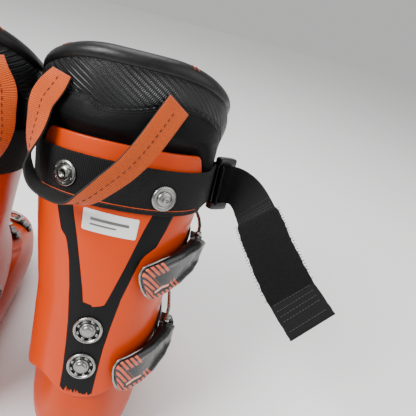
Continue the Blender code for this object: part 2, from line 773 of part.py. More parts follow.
class Track:
    """Line over a surface from a lever's tip through its pin to the hook and beyond.

    A place on it has a distance from the pin (positive towards the hook), a sideways
    distance and a height above the surface. line gives the surface point at a share of
    the line: -1 at the lever's tip, 0 at its pin, 1 at the hook bar.
    """

    def __init__(self, line, size, lever):
        self.size = size
        self.length, self.half, self.tall, self.bail = lever
        self.points = [line(k / 60.0) for k in range(-90, 115)]
        self.distances = [0.0]
        for before, here in zip(self.points, self.points[1:]):
            self.distances.append(self.distances[-1] + (here - before).length)
        self.reach = self.distances[150] - self.distances[90]
        start = self.distances[90]
        self.distances = [d - start for d in self.distances]

    def spot(self, distance):
        """Point of the line at a distance from the pin."""
        for k in range(len(self.points) - 2):
            if self.distances[k + 1] > distance:
                break
        share = (distance - self.distances[k]) / (self.distances[k + 1] - self.distances[k])
        return self.points[k].lerp(self.points[k + 1], share)

    def frame(self, distance):
        """Surface point, direction to the hook, sideways direction and outward direction."""
        point = self.spot(distance)
        out = outward(self.size, point)
        ahead = self.spot(distance + 2.0) - self.spot(distance - 2.0)
        ahead = (ahead - out * ahead.dot(out)).normalized()
        return point, ahead, out.cross(ahead), out

    def point(self, distance, across, height):
        point, _, side, out = self.frame(distance)
        return point + side * across + out * height

    def on_surface(self, distance, across, height):
        """Like point, following the surface sideways too."""
        point, _, side, out = self.frame(distance)
        return cast(self.size, point + side * across - out * 14.0, out, 30.0) + out * height


def cuff_track(tip, pin, hook, lever):
    """Track on the cuff whose height runs smoothly through three places."""
    def line(share):
        end = hook if share > 0.0 else tip
        angle = pin[1] + (end[1] - pin[1]) * abs(share)
        height = 0.0
        places = (tip, pin, hook)
        for a in range(3):
            weight = 1.0
            for b in range(3):
                if b != a:
                    weight *= (angle - places[b][1]) / (places[a][1] - places[b][1])
            height += weight * places[a][0]
        return cuff_surface(height, math.radians(angle))
    return Track(line, cuff_size, lever)


def foot_track(middle, lean, angles, lever):
    """Track where a leaning plane across the foot meets the shell."""
    up = Vector((0.0, math.sin(math.radians(lean)), math.cos(math.radians(lean))))
    centre = Vector((0.0, *middle))

    def line(share):
        end = angles[2] if share > 0.0 else angles[0]
        angle = math.radians(angles[1] + (end - angles[1]) * abs(share))
        return cast(shell_size, centre, Vector((math.sin(angle), 0.0, 0.0)) + up * math.cos(angle))
    return Track(line, shell_size, lever)


def lug_profile(track, across):
    pin, ahead, side, out = track.frame(0.0)
    top = track.tall + 4.0
    corners = ((-4.5, 1.2), (4.5, 1.2), (4.5, top - 2.6), (2.2, top), (-2.2, top), (-4.5, top - 2.6))
    return [pin + ahead * d + side * across + out * h for d, h in corners]


def build_base(boot, number, track, look):
    low = [[track.on_surface(d, y, 0.8) for y in (-10.0, 0.0, 10.0)] for d in (-11.0, -4.0, 4.0, 11.0)]
    high = [[track.on_surface(d, y, 2.4) for y in (-10.0, 0.0, 10.0)] for d in (-11.0, -4.0, 4.0, 11.0)]
    pin, _, side, out = track.frame(0.0)
    centre = pin + out * track.tall
    bm = thick_grid(high, low, cell_grid(3, 2), False)
    base = solid(boot, f"buckle_base_{number}", bm, look, centre)
    for edge in (-1.0, 1.0):
        boolean(boot, base, loft([lug_profile(track, edge * 5.1), lug_profile(track, edge * 7.6)]), "UNION")
    boolean(boot, base, rod(centre - side * 6.6, centre + side * 6.6, 2.0), "UNION")


def bail_pin(track):
    return track.point(-14.0, 0.0, track.tall - 1.4)


def build_lever(boot, number, track):
    length, full, tall = track.length, track.half, track.tall
    pin, _, side, out = track.frame(0.0)
    centre = pin + out * tall
    thick = tall / 7.6
    stations = (
        (3.3, tall, 4.6, 3.2), (-3.0, tall, 4.6, 3.2), (-7.6, tall - 0.5, 4.6, 3.4),
        (-9.6, tall - 0.9, 0.84 * full, 3.5 * thick), (-20.0, tall - 1.2, full, 3.3 * thick),
        (-0.62 * length, tall - 1.6, full, 2.8 * thick), (-0.88 * length, tall - 2.0, 0.9 * full, 2.4 * thick),
        (-length, tall - 2.6, 0.7 * full, 1.5 * thick),
    )
    rings = []
    for distance, height, half, deep in stations:
        cut = deep * 0.45
        corners = (
            (half, deep - cut), (half - cut, deep), (-half + cut, deep), (-half, deep - cut),
            (-half, cut - deep), (cut - half, -deep), (half - cut, -deep), (half, cut - deep),
        )
        point, _, across, up = track.frame(distance)
        rings.append([point + across * y + up * (height + h) for y, h in corners])
    lever = solid(boot, f"buckle_lever_{number}", loft(rings), BLACK, centre)
    boolean(boot, lever, rod(centre - side * 20.0, centre + side * 20.0, 2.35), "DIFFERENCE")
    eye = bail_pin(track)
    boolean(boot, lever, rod(eye - side * 20.0, eye + side * 20.0, WIRE + 0.35), "DIFFERENCE")


def build_bail(boot, number, track):
    """Wire loop from the lever's eye round the shell to a bar across the catch."""
    eye = bail_pin(track)
    side = track.frame(0.0)[2]
    reach = track.reach
    steps = 7
    runs = {}
    for edge in (-1.0, 1.0):
        run = [eye + side * edge * track.bail]
        for k in range(1, steps):
            share = k / steps
            height = track.tall - 1.4 + (5.2 - track.tall) * share
            half = track.bail + (12.5 - track.bail) * smoothstep(0.5, 1.0, share)
            run.append(track.point(-14.0 + (reach + 14.0) * share, edge * half, height))
        run.append(track.point(reach, edge * 12.5, 4.1))
        runs[edge] = run
    outline = runs[1.0] + list(reversed(runs[-1.0]))
    points = []
    corner_at = (0, steps, steps + 1, len(outline) - 1)
    for k, point in enumerate(outline):
        if k in corner_at:
            before = (outline[k - 1] - point).normalized() * 2.4
            after = (outline[(k + 1) % len(outline)] - point).normalized() * 2.4
            points += [point + before, point + (before + after) * 0.28, point + after]
        else:
            points.append(point)
    wire_loop(boot, f"buckle_bail_{number}", points, WIRE, STEEL, eye)


def build_catch(boot, number, track):
    """Toothed rack under the hook bar, riveted to the other flap."""
    reach = track.reach
    floor, peak, pitch, tooth = 1.9, 4.1, 8.0, 2.2
    stations = [(-8.0, floor)]
    for k in range(3):
        middle = -4.0 + k * pitch
        stations += [(middle - tooth, floor), (middle, peak), (middle + tooth, floor)]
    stations.append((17.0, floor))
    rings = []
    for distance, height in stations:
        rings.append([
            track.on_surface(reach + distance, y, h)
            for y, h in ((-8.5, 0.8), (8.5, 0.8), (8.5, height), (-8.5, height))
        ])
    solid(boot, f"buckle_catch_{number}", loft(rings), STEEL, track.point(reach, 0.0, floor), smooth=False)


def build_buckles(boot):
    tracks = [(number, cuff_track(*places), BLACK) for number, *places in CUFF_BUCKLES]
    tracks += [(number, foot_track(*places), STEEL) for number, *places in FOOT_BUCKLES]
    for number, track, look in tracks:
        build_base(boot, number, track, look)
        build_lever(boot, number, track)
        build_bail(boot, number, track)
        build_catch(boot, number, track)


def main():
    for obj in list(bpy.data.objects):
        bpy.data.objects.remove(obj)
    for side in ("right", "left"):
        boot = Boot(side)
        build_shell(boot)
        build_cuff(boot)
        build_bootboard(boot)
        build_soles(boot)
        build_liner(boot)
        build_fasteners(boot)
        build_strap(boot)
        build_ring(boot)
        build_pull_loop(boot)
        build_buckles(boot)


main()
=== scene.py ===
"""Looks of the pair of alpine ski boots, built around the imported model.

Shapes are drawn once in a boot frame in millimetres (u outward, v forward from the heel, z up)
and placed twice: the right boot at -X and its mirror image, the left boot, at +X.
"""
import json
import math

import bmesh
import bpy
from mathutils import Matrix, Vector, noise

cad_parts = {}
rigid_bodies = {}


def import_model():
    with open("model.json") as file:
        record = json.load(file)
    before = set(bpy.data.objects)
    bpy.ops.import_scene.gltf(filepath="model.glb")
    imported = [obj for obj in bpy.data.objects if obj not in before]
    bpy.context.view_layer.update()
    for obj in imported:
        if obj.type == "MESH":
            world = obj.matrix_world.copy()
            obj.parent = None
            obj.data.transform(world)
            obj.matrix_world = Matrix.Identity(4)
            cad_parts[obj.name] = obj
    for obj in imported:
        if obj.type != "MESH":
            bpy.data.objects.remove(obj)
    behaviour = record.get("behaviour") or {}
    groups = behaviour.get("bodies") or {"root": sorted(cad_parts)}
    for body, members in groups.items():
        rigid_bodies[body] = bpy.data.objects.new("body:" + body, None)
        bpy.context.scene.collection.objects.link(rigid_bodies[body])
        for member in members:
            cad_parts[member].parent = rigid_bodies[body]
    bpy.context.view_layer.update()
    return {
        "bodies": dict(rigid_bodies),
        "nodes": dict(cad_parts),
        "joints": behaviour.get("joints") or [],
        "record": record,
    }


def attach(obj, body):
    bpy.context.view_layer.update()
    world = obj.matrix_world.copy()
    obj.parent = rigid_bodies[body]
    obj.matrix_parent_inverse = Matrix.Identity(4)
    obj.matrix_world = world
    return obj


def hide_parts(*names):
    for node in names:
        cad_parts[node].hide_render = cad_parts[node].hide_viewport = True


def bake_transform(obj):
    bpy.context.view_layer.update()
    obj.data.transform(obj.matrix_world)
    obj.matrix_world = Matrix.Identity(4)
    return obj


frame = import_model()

MM = 0.001
SIDES = {"right": -1.0, "left": 1.0}

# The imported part's driving dimensions, in millimetres and degrees
HALF_SPACING, HEEL_Y = 74.0, 150.272
SOLE_LENGTH, TOE_WIDTH, HEEL_WIDTH = 308.0, 69.0, 70.0
LEAN = math.radians(14.0)
CUFF_FOOT = Vector((2.0, 85.0))
SHELL_WALL = CUFF_WALL = 4.0
FIT_GAP = 1.2
FLEX = math.radians(4.0)
SHAFT_UP = Vector((0.0, math.sin(LEAN), math.cos(LEAN)))
REARWARD = Vector((0.0, -math.cos(LEAN), math.sin(LEAN)))
COVER_MARGIN, LINER_MARGIN, COVER_REACH = 12.0, 26.0, 1.2
PIVOT = Vector((95.0, 95.0))
BOLT_HEIGHTS = (34.6, 66.0)
STRAP_HEIGHT, STRAP_WIDTH, STRAP_THICK = 180.0, 34.0, 1.8
RING_INNER, RING_OUTER, RING_WIRE = (79.5, 82.0), (92.5, 92.0), 2.0
LOOP_WIDTH, LOOP_THICK = 20.0, 1.8
WIRE = 1.5
THROAT = 24.0
FLAP_END = 388.0
CORNERS = ((-1, -1), (1, -1), (1, 1), (-1, 1))

SHELL = (
    (19.0, 0.0, 292.0, 190.0, 38.0, 3.2, 2.4), (28.0, 0.0, 298.0, 195.0, 47.0, 3.2, 2.4),
    (33.0, 4.0, 299.0, 195.0, 49.5, 3.2, 2.4), (45.0, 3.0, 300.0, 195.0, 52.0, 3.2, 2.3),
    (60.0, 3.0, 297.0, 195.0, 51.0, 3.0, 2.3), (72.0, 4.0, 272.0, 183.0, 48.5, 2.9, 2.3),
    (83.0, 6.5, 243.0, 165.0, 46.5, 2.8, 2.2), (94.0, 9.5, 219.0, 146.0, 46.0, 2.7, 2.2),
    (106.0, 13.0, 199.0, 128.0, 46.0, 2.6, 2.2), (120.0, 17.0, 182.0, 113.0, 46.5, 2.5, 2.2),
    (136.0, 21.0, 168.5, 102.0, 47.0, 2.4, 2.2), (150.0, 24.5, 158.0, 93.0, 47.0, 2.3, 2.2),
    (167.0, 29.0, 150.0, 88.0, 46.0, 2.3, 2.2),
)
SHAFT = (
    (-12.0, 53.0, 76.0, 215.0, 2.4, 2.5), (0.0, 53.0, 76.0, 215.0, 2.4, 2.5),
    (30.0, 53.0, 75.0, 208.0, 2.4, 2.5), (60.0, 53.5, 72.0, 197.0, 2.35, 2.5),
    (78.0, 54.0, 70.0, 179.0, 2.3, 2.4), (95.0, 56.0, 67.0, 156.0, 2.3, 2.3),
    (130.0, 61.0, 65.0, 140.0, 2.25, 2.2), (165.0, 65.5, 65.0, 136.0, 2.2, 2.2),
    (205.0, 69.0, 66.0, 134.0, 2.2, 2.2), (235.0, 72.5, 67.0, 136.0, 2.2, 2.2),
    (275.0, 70.0, 67.0, 134.0, 2.2, 2.2),
)
LINER_FOOT = (
    ((12.0, 34.0), (284.0, 31.0), 0.64, 40.0, 4.0), ((9.0, 44.0), (290.0, 42.0), 0.65, 45.5, 4.0),
    ((8.5, 60.0), (287.0, 59.0), 0.65, 46.0, 4.0), ((10.5, 74.0), (260.0, 71.0), 0.66, 43.5, 4.0),
    ((14.0, 88.0), (228.0, 82.0), 0.66, 39.0, 4.5), ((20.0, 105.0), (195.0, 95.0), 0.64, 37.5, 5.5),
    ((27.5, 128.0), (170.0, 111.0), 0.60, 37.0, 6.0), ((35.0, 152.0), (151.0, 127.0), 0.54, 37.0, 6.0),
)
CUFF_LEVER = (70.0, 15.0, 9.6, 17.6)
TOE_LEVER, INSTEP_LEVER = (50.0, 10.2, 7.6, 12.5), (54.0, 10.2, 7.6, 12.5)
CUFF_BUCKLES = (
    (3, (31.0, 155.0), (49.0, 98.0), (87.0, 19.0), CUFF_LEVER),
    (4, (114.0, 144.0), (131.0, 94.0), (136.0, 16.0), CUFF_LEVER),
)
FOOT_BUCKLES = (
    (1, (240.0, 34.0), 14.0, (100.0, 50.0, -32.0), TOE_LEVER),
    (2, (186.0, 50.0), 26.0, (104.0, 60.0, -28.0), INSTEP_LEVER),
)


# ---- shape of the boot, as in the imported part

def smoothstep(low, high, value):
    share = min(max((value - low) / (high - low), 0.0), 1.0)
    return share * share * (3.0 - 2.0 * share)


def from_rear(theta):
    return abs((math.degrees(theta) - 180.0 + 180.0) % 360.0 - 180.0)


def signed_power(value, exponent):
    return math.copysign(abs(value) ** exponent, value)


def row_at(table, height):
    """Row of a table at any height, on a smooth curve through its own rows."""
    last = len(table) - 2
    at = 0
    while at < last and height > table[at + 1][0]:
        at += 1
    low, high = table[at], table[at + 1]
    before, after = table[max(at - 1, 0)], table[min(at + 2, last + 1)]
    span = high[0] - low[0]
    share = min(max((height - low[0]) / span, 0.0), 1.0)
    row = [height]
    for k in range(1, len(low)):
        rise = (high[k] - before[k]) / (high[0] - before[0]) * span
        fall = (after[k] - low[k]) / (after[0] - low[0]) * span
        bend = share * (1.0 - share)
        step = high[k] - low[k]
        row.append(low[k] + step * share + bend * ((1.0 - share) * (rise - step) + share * (step - fall)))
    return row


class Section:
    """Superellipse between a back and a front point of the boot's middle plane."""

    def __init__(self, back, front, centre, half_width, n_back, n_front):
        self.axis = (Vector(front) - Vector(back)).normalized()
        self.centre = Vector(back).lerp(Vector(front), centre)
        self.back = (self.centre - Vector(back)).length
        self.front = (Vector(front) - self.centre).length
        self.half_width = half_width
        self.n_back, self.n_front = n_back, n_front

    def point(self, theta, inset=0.0):
        along = math.cos(theta)
        reach = self.front if along > 0.0 else self.back
        power = 2.0 / (self.n_front if along > 0.0 else self.n_back)
        place = self.centre + self.axis * signed_power(along, power) * (reach - inset)
        across = signed_power(math.sin(theta), power) * (self.half_width - inset)
        return Vector((across, place.x, place.y))

    def angle(self, point):
        along = (Vector((point.y, point.z)) - self.centre).dot(self.axis)
        reach = self.front if along > 0.0 else self.back
        return math.atan2(point.x / self.half_width, along / reach)

    def size(self, point, inset=0.0):
        along = (Vector((point.y, point.z)) - self.centre).dot(self.axis)
        reach = self.front if along > 0.0 else self.back
        power = self.n_front if along > 0.0 else self.n_back
        total = abs(along / (reach - inset)) ** power + abs(point.x / (self.half_width - inset)) ** power
        return total ** (1.0 / power)

    def pull_inside(self, point, inset):
        size = self.size(point, inset)
        if size <= 1.0:
            return point
        along = (Vector((point.y, point.z)) - self.centre).dot(self.axis)
        shift = self.axis * along * (1.0 - 1.0 / size)
        return Vector((point.x / size, point.y - shift.x, point.z - shift.y))


SECTIONS = {}


def shaft_section(height):
    key = round(height, 2)
    if key not in SECTIONS:
        _, half_width, centre, front, n_back, n_front = row_at(SHAFT, key)
        back = CUFF_FOOT + Vector((math.sin(LEAN), math.cos(LEAN))) * key
        nose = back + Vector((math.cos(LEAN), -math.sin(LEAN))) * front
        SECTIONS[key] = Section(back, nose, centre / front, half_width, n_back, n_front)
    return SECTIONS[key]


def shaft_height(point):
    return (point.y - CUFF_FOOT.x) * math.sin(LEAN) + (point.z - CUFF_FOOT.y) * math.cos(LEAN)


def shell_section(height):
    _, back, front, centre, half_width, n_back, n_front = row_at(SHELL, height)
    return Section((back, height), (front, height), (centre - back) / (front - back), half_width,
                   n_back, n_front)


def cuff_bottom(theta):
    rear = from_rear(theta)
    dip = 11.0 * math.sin(math.pi * min(rear, 70.0) / 70.0) ** 2
    return 6.0 + dip + 76.0 * smoothstep(76.0, 168.0, rear)


def cuff_top(theta):
    return 209.0 - 22.0 * smoothstep(48.0, 66.0, from_rear(theta))


def tilt(point, angle):
    forward, up = point.y - PIVOT.x, point.z - PIVOT.y
    return Vector((
        point.x, PIVOT.x + forward * math.cos(angle) + up * math.sin(angle),
        PIVOT.y - forward * math.sin(angle) + up * math.cos(angle)))


def inside_cuff(point, inset, margin=COVER_MARGIN):
    for angle in (0.0, FLEX):
        place = tilt(point, -angle)
        height = shaft_height(place)
        if height < SHAFT[0][0]:
            continue
        section = shaft_section(height)
        covered = height > cuff_bottom(section.angle(place)) - margin
        if covered and section.size(place) < COVER_REACH:
            point = tilt(section.pull_inside(place, inset), angle)
    return point


def inside_shell(point, depth):
    for rise, inset in ((0.0, SHELL_WALL + 1.8), (SHELL_WALL + 4.0, 0.0)):
        point = shell_section(point.z + rise).pull_inside(point, inset + depth)
    return point


def shell_surface(height, theta):
    return inside_cuff(shell_section(height).point(theta), CUFF_WALL + FIT_GAP)


def cuff_surface(height, theta, off=0.0):
    return shaft_section(height).point(theta, -off)


def cuff_at(height, across, off=0.0):
    """Point on the back of the cuff from its shaft height and its sideways place."""
    section = shaft_section(height)
    sine = min(abs(across) / section.half_width, 0.999) ** (section.n_back / 2.0)
    return section.point(math.pi - math.copysign(math.asin(sine), across), -off)


def shell_size(point):
    return shell_section(point.z).size(point)


def cuff_size(point):
    return shaft_section(shaft_height(point)).size(point)


def outward(size, point):
    slope = Vector()
    for axis in range(3):
        step = Vector((0.0, 0.0, 0.0))
        step[axis] = 0.5
        slope[axis] = size(point + step) - size(point - step)
    return slope.normalized()


def cast(size, origin, direction, far=140.0):
    near = 0.0
    for _ in range(24):
        middle = (near + far) / 2.0
        if size(origin + direction * middle) < 1.0:
            near = middle
        else:
            far = middle
    return origin + direction * far


def liner_row(index, theta, deeper):
    if index < len(LINER_FOOT):
        back, front, centre, half_width, wall = LINER_FOOT[index]
        inset = deeper * wall
        point = Section(back, front, centre, half_width, 2.9, 2.3).point(theta, inset)
        if index == 0 and deeper:
            point.z += 5.0
        room = CUFF_WALL + SHELL_WALL + 3.0 * FIT_GAP + inset
        return inside_cuff(inside_shell(point, inset), room, LINER_MARGIN)
    fall = smoothstep(15.0, 140.0, from_rear(theta))
    height, inset, wall = (
        (109.0, CUFF_WALL + SHELL_WALL + 11.0, 6.0), (133.0, CUFF_WALL + 1.6, 8.0),
        (160.0, CUFF_WALL + 1.4, 8.0), (cuff_top(theta) + 2.0, CUFF_WALL + 1.4, 8.0),
        (cuff_top(theta) + 10.0, 0.5, 11.0), (243.0 - 24.0 * fall, 0.0, 11.0),
        (264.0 - 30.0 * fall, 1.0, 9.0), (271.0 - 32.0 * fall, 4.5, 3.0),
    )[index - len(LINER_FOOT)]
    return shaft_section(height).point(theta, inset + deeper * wall)


def liner_at(row, theta, deeper):
    """Smooth curve through the liner's rows."""
    at = min(int(row), 14)
    share = row - at
    low, high = liner_row(at, theta, deeper), liner_row(at + 1, theta, deeper)
    before, after = liner_row(max(at - 1, 0), theta, deeper), liner_row(min(at + 2, 15), theta, deeper)
    bend = share * (1.0 - share)
    step = high - low
    rise, fall = (high - before) / 2.0, (after - low) / 2.0
    return low + step * share + bend * ((1.0 - share) * (rise - step) + share * (step - fall)) * 0.7


# ---- mesh helpers

def spread(start, end, count):
    return [start + (end - start) * k / (count - 1) for k in range(count)]


def matrix(side):
    sign = SIDES[side]
    return Matrix((
        (sign * MM, 0.0, 0.0, sign * HALF_SPACING * MM), (0.0, -MM, 0.0, HEEL_Y * MM),
        (0.0, 0.0, MM, 0.0), (0.0, 0.0, 0.0, 1.0)))


def new_mesh():
    bm = bmesh.new()
    bm.loops.layers.uv.new("mm")
    return bm


def quad(bm, verts, slot=0, uvs=None):
    face = bm.faces.new(verts)
    face.material_index = slot
    face.smooth = True
    if uvs:
        layer = bm.loops.layers.uv.active
        for loop, uv in zip(face.loops, uvs):
            loop[layer].uv = (uv[0] * MM, uv[1] * MM)
    return face


def grid(bm, rows, slots=None, wrap=False, loop=False, coords=None):
    """Quads between rows of points. wrap joins each row's ends, loop joins the last row to the first."""
    verts = [[bm.verts.new(p) for p in row] for row in rows]
    if coords is None:
        coords = measure(rows)
    tall, wide = len(rows), len(rows[0])
    for i in range(tall if loop else tall - 1):
        for j in range(wide if wrap else wide - 1):
            a, b = (i + 1) % tall, (j + 1) % wide
            uvs = [coords[i][j], coords[i][j + 1], coords[i + 1][j + 1], coords[i + 1][j]]
            slot = slots(i, j) if slots else 0
            quad(bm, (verts[i][j], verts[i][b], verts[a][b], verts[a][j]), slot, uvs)
    return verts


def measure(rows):
    """Place of every grid point in millimetres along its row and along the middle column."""
    middle = len(rows[0]) // 2
    coords, rise = [], 0.0
    extended = list(rows) + [rows[0]]
    for i, row in enumerate(extended):
        if i:
            rise += (row[middle] - extended[i - 1][middle]).length
        run, line = 0.0, []
        closed = list(row) + [row[0]]
        for j, point in enumerate(closed):
            if j:
                run += (point - closed[j - 1]).length
            line.append((run, rise))
        coords.append(line)
    return coords


def slab(bm, outer, inner, wrap=False, slots=(0, 0, 0), floor=False):
    """Closed solid between two grids, with rims along its open edges."""
    top = grid(bm, outer, lambda i, j: slots[0], wrap)
    low = grid(bm, [list(reversed(row)) for row in inner], lambda i, j: slots[1], wrap)
    low = [list(reversed(row)) for row in low]
    tall, wide = len(outer), len(outer[0])
    edges = []
    if wrap:
        for row in ((0, tall - 1) if not floor else (tall - 1,)):
            for j in range(wide):
                edges.append(((row, j), (row, (j + 1) % wide)))
    else:
        edges += [((0, j), (0, j + 1)) for j in range(wide - 1)]
        edges += [((tall - 1, j), (tall - 1, j + 1)) for j in range(wide - 1)]
        edges += [((i, 0), (i + 1, 0)) for i in range(tall - 1)]
        edges += [((i, wide - 1), (i + 1, wide - 1)) for i in range(tall - 1)]
    for a, b in edges:
        quad(bm, (top[a[0]][a[1]], top[b[0]][b[1]], low[b[0]][b[1]], low[a[0]][a[1]]), slots[2])
    if floor:
        quad(bm, list(reversed(top[0])), slots[2])
        quad(bm, low[0], slots[2])
    return bm


def loft(bm, rings, slot=0, slots=None, caps=True):
    verts = grid(bm, rings, slots or (lambda i, j: slot), wrap=True)
    if caps:
        quad(bm, list(reversed(verts[0])), slots(0, 0) if slots else slot)
        quad(bm, verts[-1], slots(len(rings) - 1, 0) if slots else slot)
    return bm


def basis(axis):
    axis = axis.normalized()
    aside = axis.orthogonal().normalized()
    return aside, axis.cross(aside), axis


def turned(bm, origin, axis, profile, sides=24, slot=0, aside=None):
    """Body of revolution: profile of (radius, height) along an axis."""
    x, y, z = basis(axis)
    if aside is not None:
        x = (aside - z * aside.dot(z)).normalized()
        y = z.cross(x)
    turns = [math.tau * k / sides for k in range(sides)]
    around = [x * math.cos(turn) + y * math.sin(turn) for turn in turns]
    rings = [[origin + z * height + out * radius for out in around] for radius, height in profile]
    return loft(bm, rings, slot)


def tube(bm, points, radius, sides=8, slot=0, closed=False):
    """Round wire along points, with its frame carried along."""
    count = len(points)
    ahead = []
    for k in range(count):
        if closed:
            ahead.append((points[(k + 1) % count] - points[k - 1]).normalized())
        else:
            ahead.append((points[min(k + 1, count - 1)] - points[max(k - 1, 0)]).normalized())
    side = ahead[0].orthogonal().normalized()
    rings = []
    for k, point in enumerate(points):
        side = (side - ahead[k] * side.dot(ahead[k])).normalized()
        up = ahead[k].cross(side)
        rings.append([
            point + (side * math.cos(math.tau * s / sides) + up * math.sin(math.tau * s / sides)) * radius
            for s in range(sides)])
    if closed:
        grid(bm, rings, lambda i, j: slot, wrap=True, loop=True)
    else:
        loft(bm, rings, slot)
    return bm


def smooth_line(points, steps=4, closed=False):
    """Catmull-Rom curve through vectors of any length."""
    count = len(points)
    result = []
    for k in range(count if closed else count - 1):
        p = [points[(k + d) % count] if closed else points[min(max(k + d, 0), count - 1)]
             for d in (-1, 0, 1, 2)]
        for s in range(steps):
            t = s / steps
            result.append(
                p[1] + (p[2] - p[0]) * 0.5 * t + (p[0] - p[1] * 2.5 + p[2] * 2.0 - p[3] * 0.5) * t * t
                + (p[1] * 1.5 - p[0] * 0.5 - p[2] * 1.5 + p[3] * 0.5) * t * t * t)
    if not closed:
        result.append(points[-1].copy())
    return result


def rounded(corners, radius, count=4):
    points = []
    for k, corner in enumerate(corners):
        before = (corners[k - 1] - corner).normalized() * radius
        after = (corners[(k + 1) % len(corners)] - corner).normalized() * radius
        for share in spread(0.0, 1.0, count):
            points.append(corner + before * (1.0 - share) ** 2 + after * share ** 2)
    return points


def stitch_line(bm, place, start, end, pitch=3.0, length=2.0, radius=0.28, slot=0):
    """Thread stitches: short capsules on a line, where place(distance) gives a point and its normal."""
    at = start
    while at + length <= end:
        points = []
        for share in spread(0.0, 1.0, 5):
            point, out = place(at + length * share)
            points.append(point + out * (math.sin(math.pi * share) * radius * 1.1 - radius * 0.25))
        tube(bm, points, radius, 5, slot)
        at += pitch


def emit(name, bm, body, mats, replaces=(), bevel=0.0, segments=2, limit=40.0, subdivide=0,
        after=None):
    """One boot-frame mesh becomes a piece on each boot, riding on its own body; a piece given a pair of
    bodies is baked in place and rides on neither.
    """
    bmesh.ops.recalc_face_normals(bm, faces=bm.faces)
    made = []
    for side in SIDES:
        work = bm.copy()
        work.transform(matrix(side))
        if side == "left":
            bmesh.ops.reverse_faces(work, faces=work.faces)
        data = bpy.data.meshes.new(f"{side}_{name}")
        work.to_mesh(data)
        work.free()
        for mat in mats:
            data.materials.append(mat)
        obj = bpy.data.objects.new(f"{side}_{name}", data)
        bpy.context.scene.collection.objects.link(obj)
        if bevel:
            change = obj.modifiers.new("bevel", "BEVEL")
            change.width = bevel * MM
            change.segments = segments
            change.limit_method = "ANGLE"
            change.angle_limit = math.radians(limit)
        if subdivide:
            change = obj.modifiers.new("smooth", "SUBSURF")
            change.levels = change.render_levels = subdivide
        if replaces:
            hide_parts(*[f"{side}_{node}" for node in replaces])
        if isinstance(body, tuple):
            low, high = (matrix(side) @ Vector(p) for p in body[2:])
            tuple(low)
            tuple(high)
            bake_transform(obj)
        else:
            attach(obj, f"{side}_{body}")
        if after:
            after(obj)
        made.append(obj)
    bm.free()
    return made


# ---- materials

class Look:
    """Procedural material: a Principled shader with helpers for its textures."""

    def __init__(self, name, color, roughness, metallic=0.0, **sockets):
        self.mat = bpy.data.materials.new(name)
        self.mat.use_nodes = True
        self.mat.diffuse_color = (*color, 1.0)
        self.nodes, self.links = self.mat.node_tree.nodes, self.mat.node_tree.links
        self.shader = self.nodes["Principled BSDF"]
        self.set(self.shader, "Base Color", (*color, 1.0))
        self.set(self.shader, "Roughness", roughness)
        self.set(self.shader, "Metallic", metallic)
        for socket, value in sockets.items():
            self.set(self.shader, socket.replace("_", " "), value)
        self.coords = self.nodes.new("ShaderNodeTexCoord")
        self.normal = None

    def set(self, node, socket, value):
        target = node.inputs[socket]
        if isinstance(value, bpy.types.NodeSocket):
            self.links.new(value, target)
        else:
            target.default_value = value

    def node(self, kind, out=0, settings=(), **sockets):
        node = self.nodes.new(kind)
        for key, value in dict(settings).items():
            setattr(node, key, value)
        for socket, value in sockets.items():
            self.set(node, int(socket[1:]) if socket[0] == "i" and socket[1:].isdigit() else socket, value)
        return node.outputs[out]

    def space(self, stretch=(1.0, 1.0, 1.0), turn=0.0, uv=False):
        source = self.coords.outputs["UV" if uv else "Object"]
        return self.node("ShaderNodeMapping", Vector=source, Scale=stretch, Rotation=(0.0, 0.0, turn))

    def noise(self, scale, detail=3.0, space=None, rough=0.55):
        return self.node(
            "ShaderNodeTexNoise", Vector=space or self.space(), Scale=scale, Detail=detail, Roughness=rough)

    def math(self, operation, first, second=0.0, third=0.0):
        return self.node("ShaderNodeMath", settings={"operation": operation}, i0=first, i1=second, i2=third)

    def wave(self, scale, space, axis="X", bands="BANDS", distortion=0.0, profile="SIN"):
        return self.node(
            "ShaderNodeTexWave",
            settings={"bands_direction": axis, "wave_type": bands, "wave_profile": profile},
            Vector=space, Scale=scale, Distortion=distortion)

    def ramp(self, value, *stops):
        node = self.nodes.new("ShaderNodeValToRGB")
        self.links.new(value, node.inputs[0])
        ramp = node.color_ramp
        while len(ramp.elements) < len(stops):
            ramp.elements.new(0.5)
        for element, (place, color) in zip(ramp.elements, stops):
            element.position = place
            element.color = (*color, 1.0) if hasattr(color, "__len__") else (color, color, color, 1.0)
        return node.outputs[0]

    def mix(self, share, first, second):
        node = self.nodes.new("ShaderNodeMix")
        node.data_type = "RGBA"
        colors = [s for s in node.inputs if s.type == "RGBA"]
        self.set(node, 0, share)
        for socket, value in zip(colors, (first, second)):
            if isinstance(value, bpy.types.NodeSocket):
                self.links.new(value, socket)
            else:
                socket.default_value = (*value, 1.0)
        return [s for s in node.outputs if s.type == "RGBA"][0]

    def bump(self, height, distance, strength=1.0):
        node = self.nodes.new("ShaderNodeBump")
        self.set(node, "Height", height)
        node.inputs["Distance"].default_value = distance * MM
        node.inputs["Strength"].default_value = strength
        if self.normal:
            self.links.new(self.normal, node.inputs["Normal"])
        self.normal = node.outputs[0]
        self.set(self.shader, "Normal", self.normal)

    def color(self, value):
        self.set(self.shader, "Base Color", value)

    def rough(self, value):
        self.set(self.shader, "Roughness", value)


def plastic(name, color, deep, roughness):
    """Moulded polyurethane: soft colour drift, a faint orange-peel skin and fine scuffs."""
    look = Look(name, color, roughness, Coat_Weight=0.05, Coat_Roughness=0.12, Specular_IOR_Level=0.22)
    look.color(look.mix(look.noise(14.0, 2.0), deep, color))
    scuffs = look.noise(60.0, 6.0, look.space((1.0, 1.0, 7.0)), 0.7)
    marks = look.ramp(scuffs, (0.62, roughness), (0.74, roughness + 0.22))
    look.rough(marks)
    look.bump(look.noise(900.0, 2.0), 0.03, 0.5)
    look.bump(look.noise(45.0, 2.0), 0.25, 0.35)
    return look.mat


